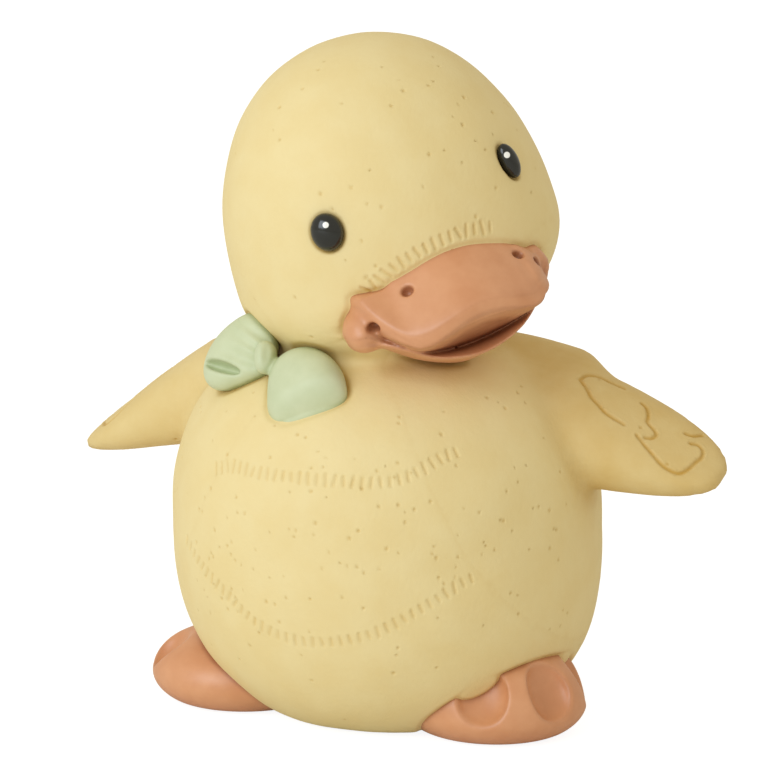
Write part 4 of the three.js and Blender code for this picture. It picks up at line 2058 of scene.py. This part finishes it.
@dataclass
class Figurine:
    """Attributes:
        wash: the painted shade in all of its creases.
        eye_socket_shade: share and softness of the painted shade in the rings round the eyes.
        wing_shades: shares of the painted shade over the left and the right wing.
        wing_shade_soft: how softly that shade ends.
        mouth_shade: share and softness of the painted shade in the mouth.
        hole_shade: share and softness of the painted shade in the nostrils and dimples.
        seam: how near another piece the skin has finer faces.
        finer: how far around the marks its faces are halved, once and once more.
    """

    wash: CreaseShade = CreaseShade()
    eye_socket_shade: Sequence[float] = (0.9, 0.7)
    wing_shades: Sequence[float] = (0.75, 0.45)
    wing_shade_soft: float = 9.0
    mouth_shade: Sequence[float] = (0.35, 1.0)
    hole_shade: Sequence[float] = (0.8, 0.5)
    seam: float = 0.8
    finer: Sequence[float] = (1.6, 0.95)

    def __post_init__(self) -> None:
        """Sets out the sub-assemblies."""
        self.trunk = Trunk()
        self.head = Head()
        left_wing = Wing(Side.LEFT, height=42.9, droop=14.5, twist=30)
        right_wing = Wing(Side.RIGHT, height=44.6, droop=24, twist=6)
        self.wings = [left_wing, right_wing]
        self.bill = Bill(self.head)
        place, hollows = (-20.3, -4.7, 0), (-66, -112)
        left = Foot(Side.LEFT, at=(18.9, -7.6, 0), rise=9.5, hollows=(12, 60, 108))
        right = Foot(Side.RIGHT, place, rise=6.8, hollows=hollows, scoop_out=0.8, scoop_up=0.62)
        self.feet = [left, right]
        self.bow = Bow()
        self.eyes = [Eye(side, self.head) for side in Side]
        self.markings = Markings(self.trunk, self.head, self.wings)
        beside = [self.bill.form(), self.bow.form()] + [foot.form() for foot in self.feet]
        self.skin = Skin(self.trunk, self.head, self.wings, self.eyes, beside)
        self.everything = joined(0.01, self.skin.form(), *beside)

    def declare(self, made: bpy.types.Object, paint: bpy.types.Material) -> None:
        """Args:
            made: the piece.
            paint: its material.
        """
        if not made.data.materials:
            made.data.materials.append(paint)
        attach(made, "root")
        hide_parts(NODE)
        log.info("%s: %d faces", made.name, len(made.data.polygons))

    def stain(self, made: bpy.types.Object, form: Field, shaded_places: Sequence[ShadedPlace] = ()) -> None:
        """Writes how much painted shade lies at each point of a piece.

        Args:
            made: the piece.
            form: its surface.
            shaded_places: places where more of it is laid.
        """
        points = read_points(made.data)
        # Painted shade in the creases, by how near other surfaces stand in front, and more in the
        # shaded places.
        shade_amount = self.wash.at(self.everything, points, outward(form, points))
        for shaded_place in shaded_places:
            shade_amount = shade_amount + shaded_place.at(points)
        store(made.data, "wash", np.clip(shade_amount, 0, 1))

    def add_piece(
        self, name: str, piece: object, paint: bpy.types.Material, shaded_places: Sequence[ShadedPlace] = ()
    ) -> None:
        """Models one painted part, paints shade into it and declares it.

        Args:
            name: its name.
            piece: the sub-assembly that gives its form, bounds and step.
            paint: its material.
            shaded_places: places where more painted shade is laid.
        """
        form = piece.form()
        made = modelled(name, form, *piece.bounds(), piece.step)
        self.stain(made, form, shaded_places)
        self.declare(made, paint)

    def tick_lines(
        self, made: bpy.types.Object, form: Field, paint: bpy.types.Material
    ) -> list[bpy.types.Object]:
        """The strokes of the rows of ticks, each row as an object of edges.

        Args:
            made: the skin.
            form: its surface.
            paint: its material.

        Returns:
            The objects.
        """
        ticks = tick_tree(paint)
        lines = []
        for number, row in enumerate(self.markings.rows()):
            line = self.markings.guide(row.name, form, row.places)
            values = {"Skin": made, "Pitch": row.pitch * MM, "Length": row.length * MM}
            apply_tree(line, ticks, {**values, "Seed": number})
            lines.append(line)
        return lines

    def pinholes(self, made: bpy.types.Object, paint: bpy.types.Material) -> bpy.types.Object:
        """The places of the pinholes.

        Args:
            made: the skin.
            paint: its material.

        Returns:
            An object of points.
        """
        store(made.data, "pricked", self.markings.pricked(read_points(made.data)))
        pricks = made.copy()
        pricks.data = made.data.copy()
        bpy.context.scene.collection.objects.link(pricks)
        values = {"Density": self.markings.density, "Seed": self.markings.seed}
        apply_tree(pricks, prick_tree(paint), values)
        return pricks

    def sharpen(
        self, made: bpy.types.Object, form: Field, marks: Sequence[bpy.types.Object]
    ) -> None:
        """Gives the skin finer faces where it is marked, round the eyes and along its seams.

        Args:
            made: the skin.
            form: its surface.
            marks: the objects that are pressed into it later.
        """
        near = [read_points(mark.data) for mark in marks]
        near.extend(eye.crease() for eye in self.eyes)
        points = read_points(made.data)
        edge = np.min([np.abs(other(points)) for other in self.skin.beside], axis=0)
        near.append(points[edge < self.seam])
        for reach in self.finer:
            refined(made, form, np.concatenate(near), reach)

    def add_skin(self, paint: bpy.types.Material) -> None:
        form = self.skin.form()
        low, high = (np.array(corner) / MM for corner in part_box(NODE))
        made = modelled("skin", form, low, high, self.skin.step)
        lines = self.tick_lines(made, form, paint)
        pricks = self.pinholes(made, paint)
        feathers = self.markings.feather_lines(form)
        self.sharpen(made, form, lines + [feathers, pricks])
        # Painted shade over the whole of each wing and in the rings round the eyes.
        wings = zip(self.wings, self.wing_shades)
        shaded_places = [ShadedPlace(wing.form(), share, self.wing_shade_soft) for wing, share in wings]
        shaded_places += [ShadedPlace(eye.socket(), *self.eye_socket_shade) for eye in self.eyes]
        self.stain(made, form, shaded_places)
        press_lines = press_tree(paint, Target.LINES)
        for row, line in zip(self.markings.rows(), lines):
            row.press.into(made, press_lines, line)
        self.markings.feather_press.into(made, press_lines, feathers)
        self.markings.prick_press.into(made, press_tree(paint, Target.PRICKS), pricks)
        for scratch in lines + [feathers, pricks]:
            bpy.data.objects.remove(scratch)
        self.declare(made, paint)

    def build(self) -> None:
        """Builds every piece in order."""
        coral = CORAL.material()
        self.add_skin(YELLOW.material())
        # Painted shade in the open mouth, the nostrils and the dimples.
        shaded_places = [ShadedPlace(self.bill.mouth(), *self.mouth_shade)]
        shaded_places += [ShadedPlace(pit, *self.hole_shade) for pit in self.bill.pits()]
        self.add_piece("bill", self.bill, coral, shaded_places)
        for foot in self.feet:
            self.add_piece("foot_" + foot.side.name.lower(), foot, coral)
        self.add_piece("bow", self.bow, GREEN.material())
        for eye in self.eyes:
            side = eye.side.name.lower()
            enamel = GlossEnamel("black_enamel_" + side, eye.dot(), eye.dot_radius)
            self.add_piece("eye_" + side, eye, enamel.material())


def main() -> None:
    """Builds the figurine in its studio and reports each piece."""
    logging.basicConfig(level=logging.INFO, format="%(name)s %(message)s")
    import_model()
    studio = Studio()
    studio.camera()
    studio.light()
    studio.table()
    Figurine().build()


if __name__ == "__main__":
    main()
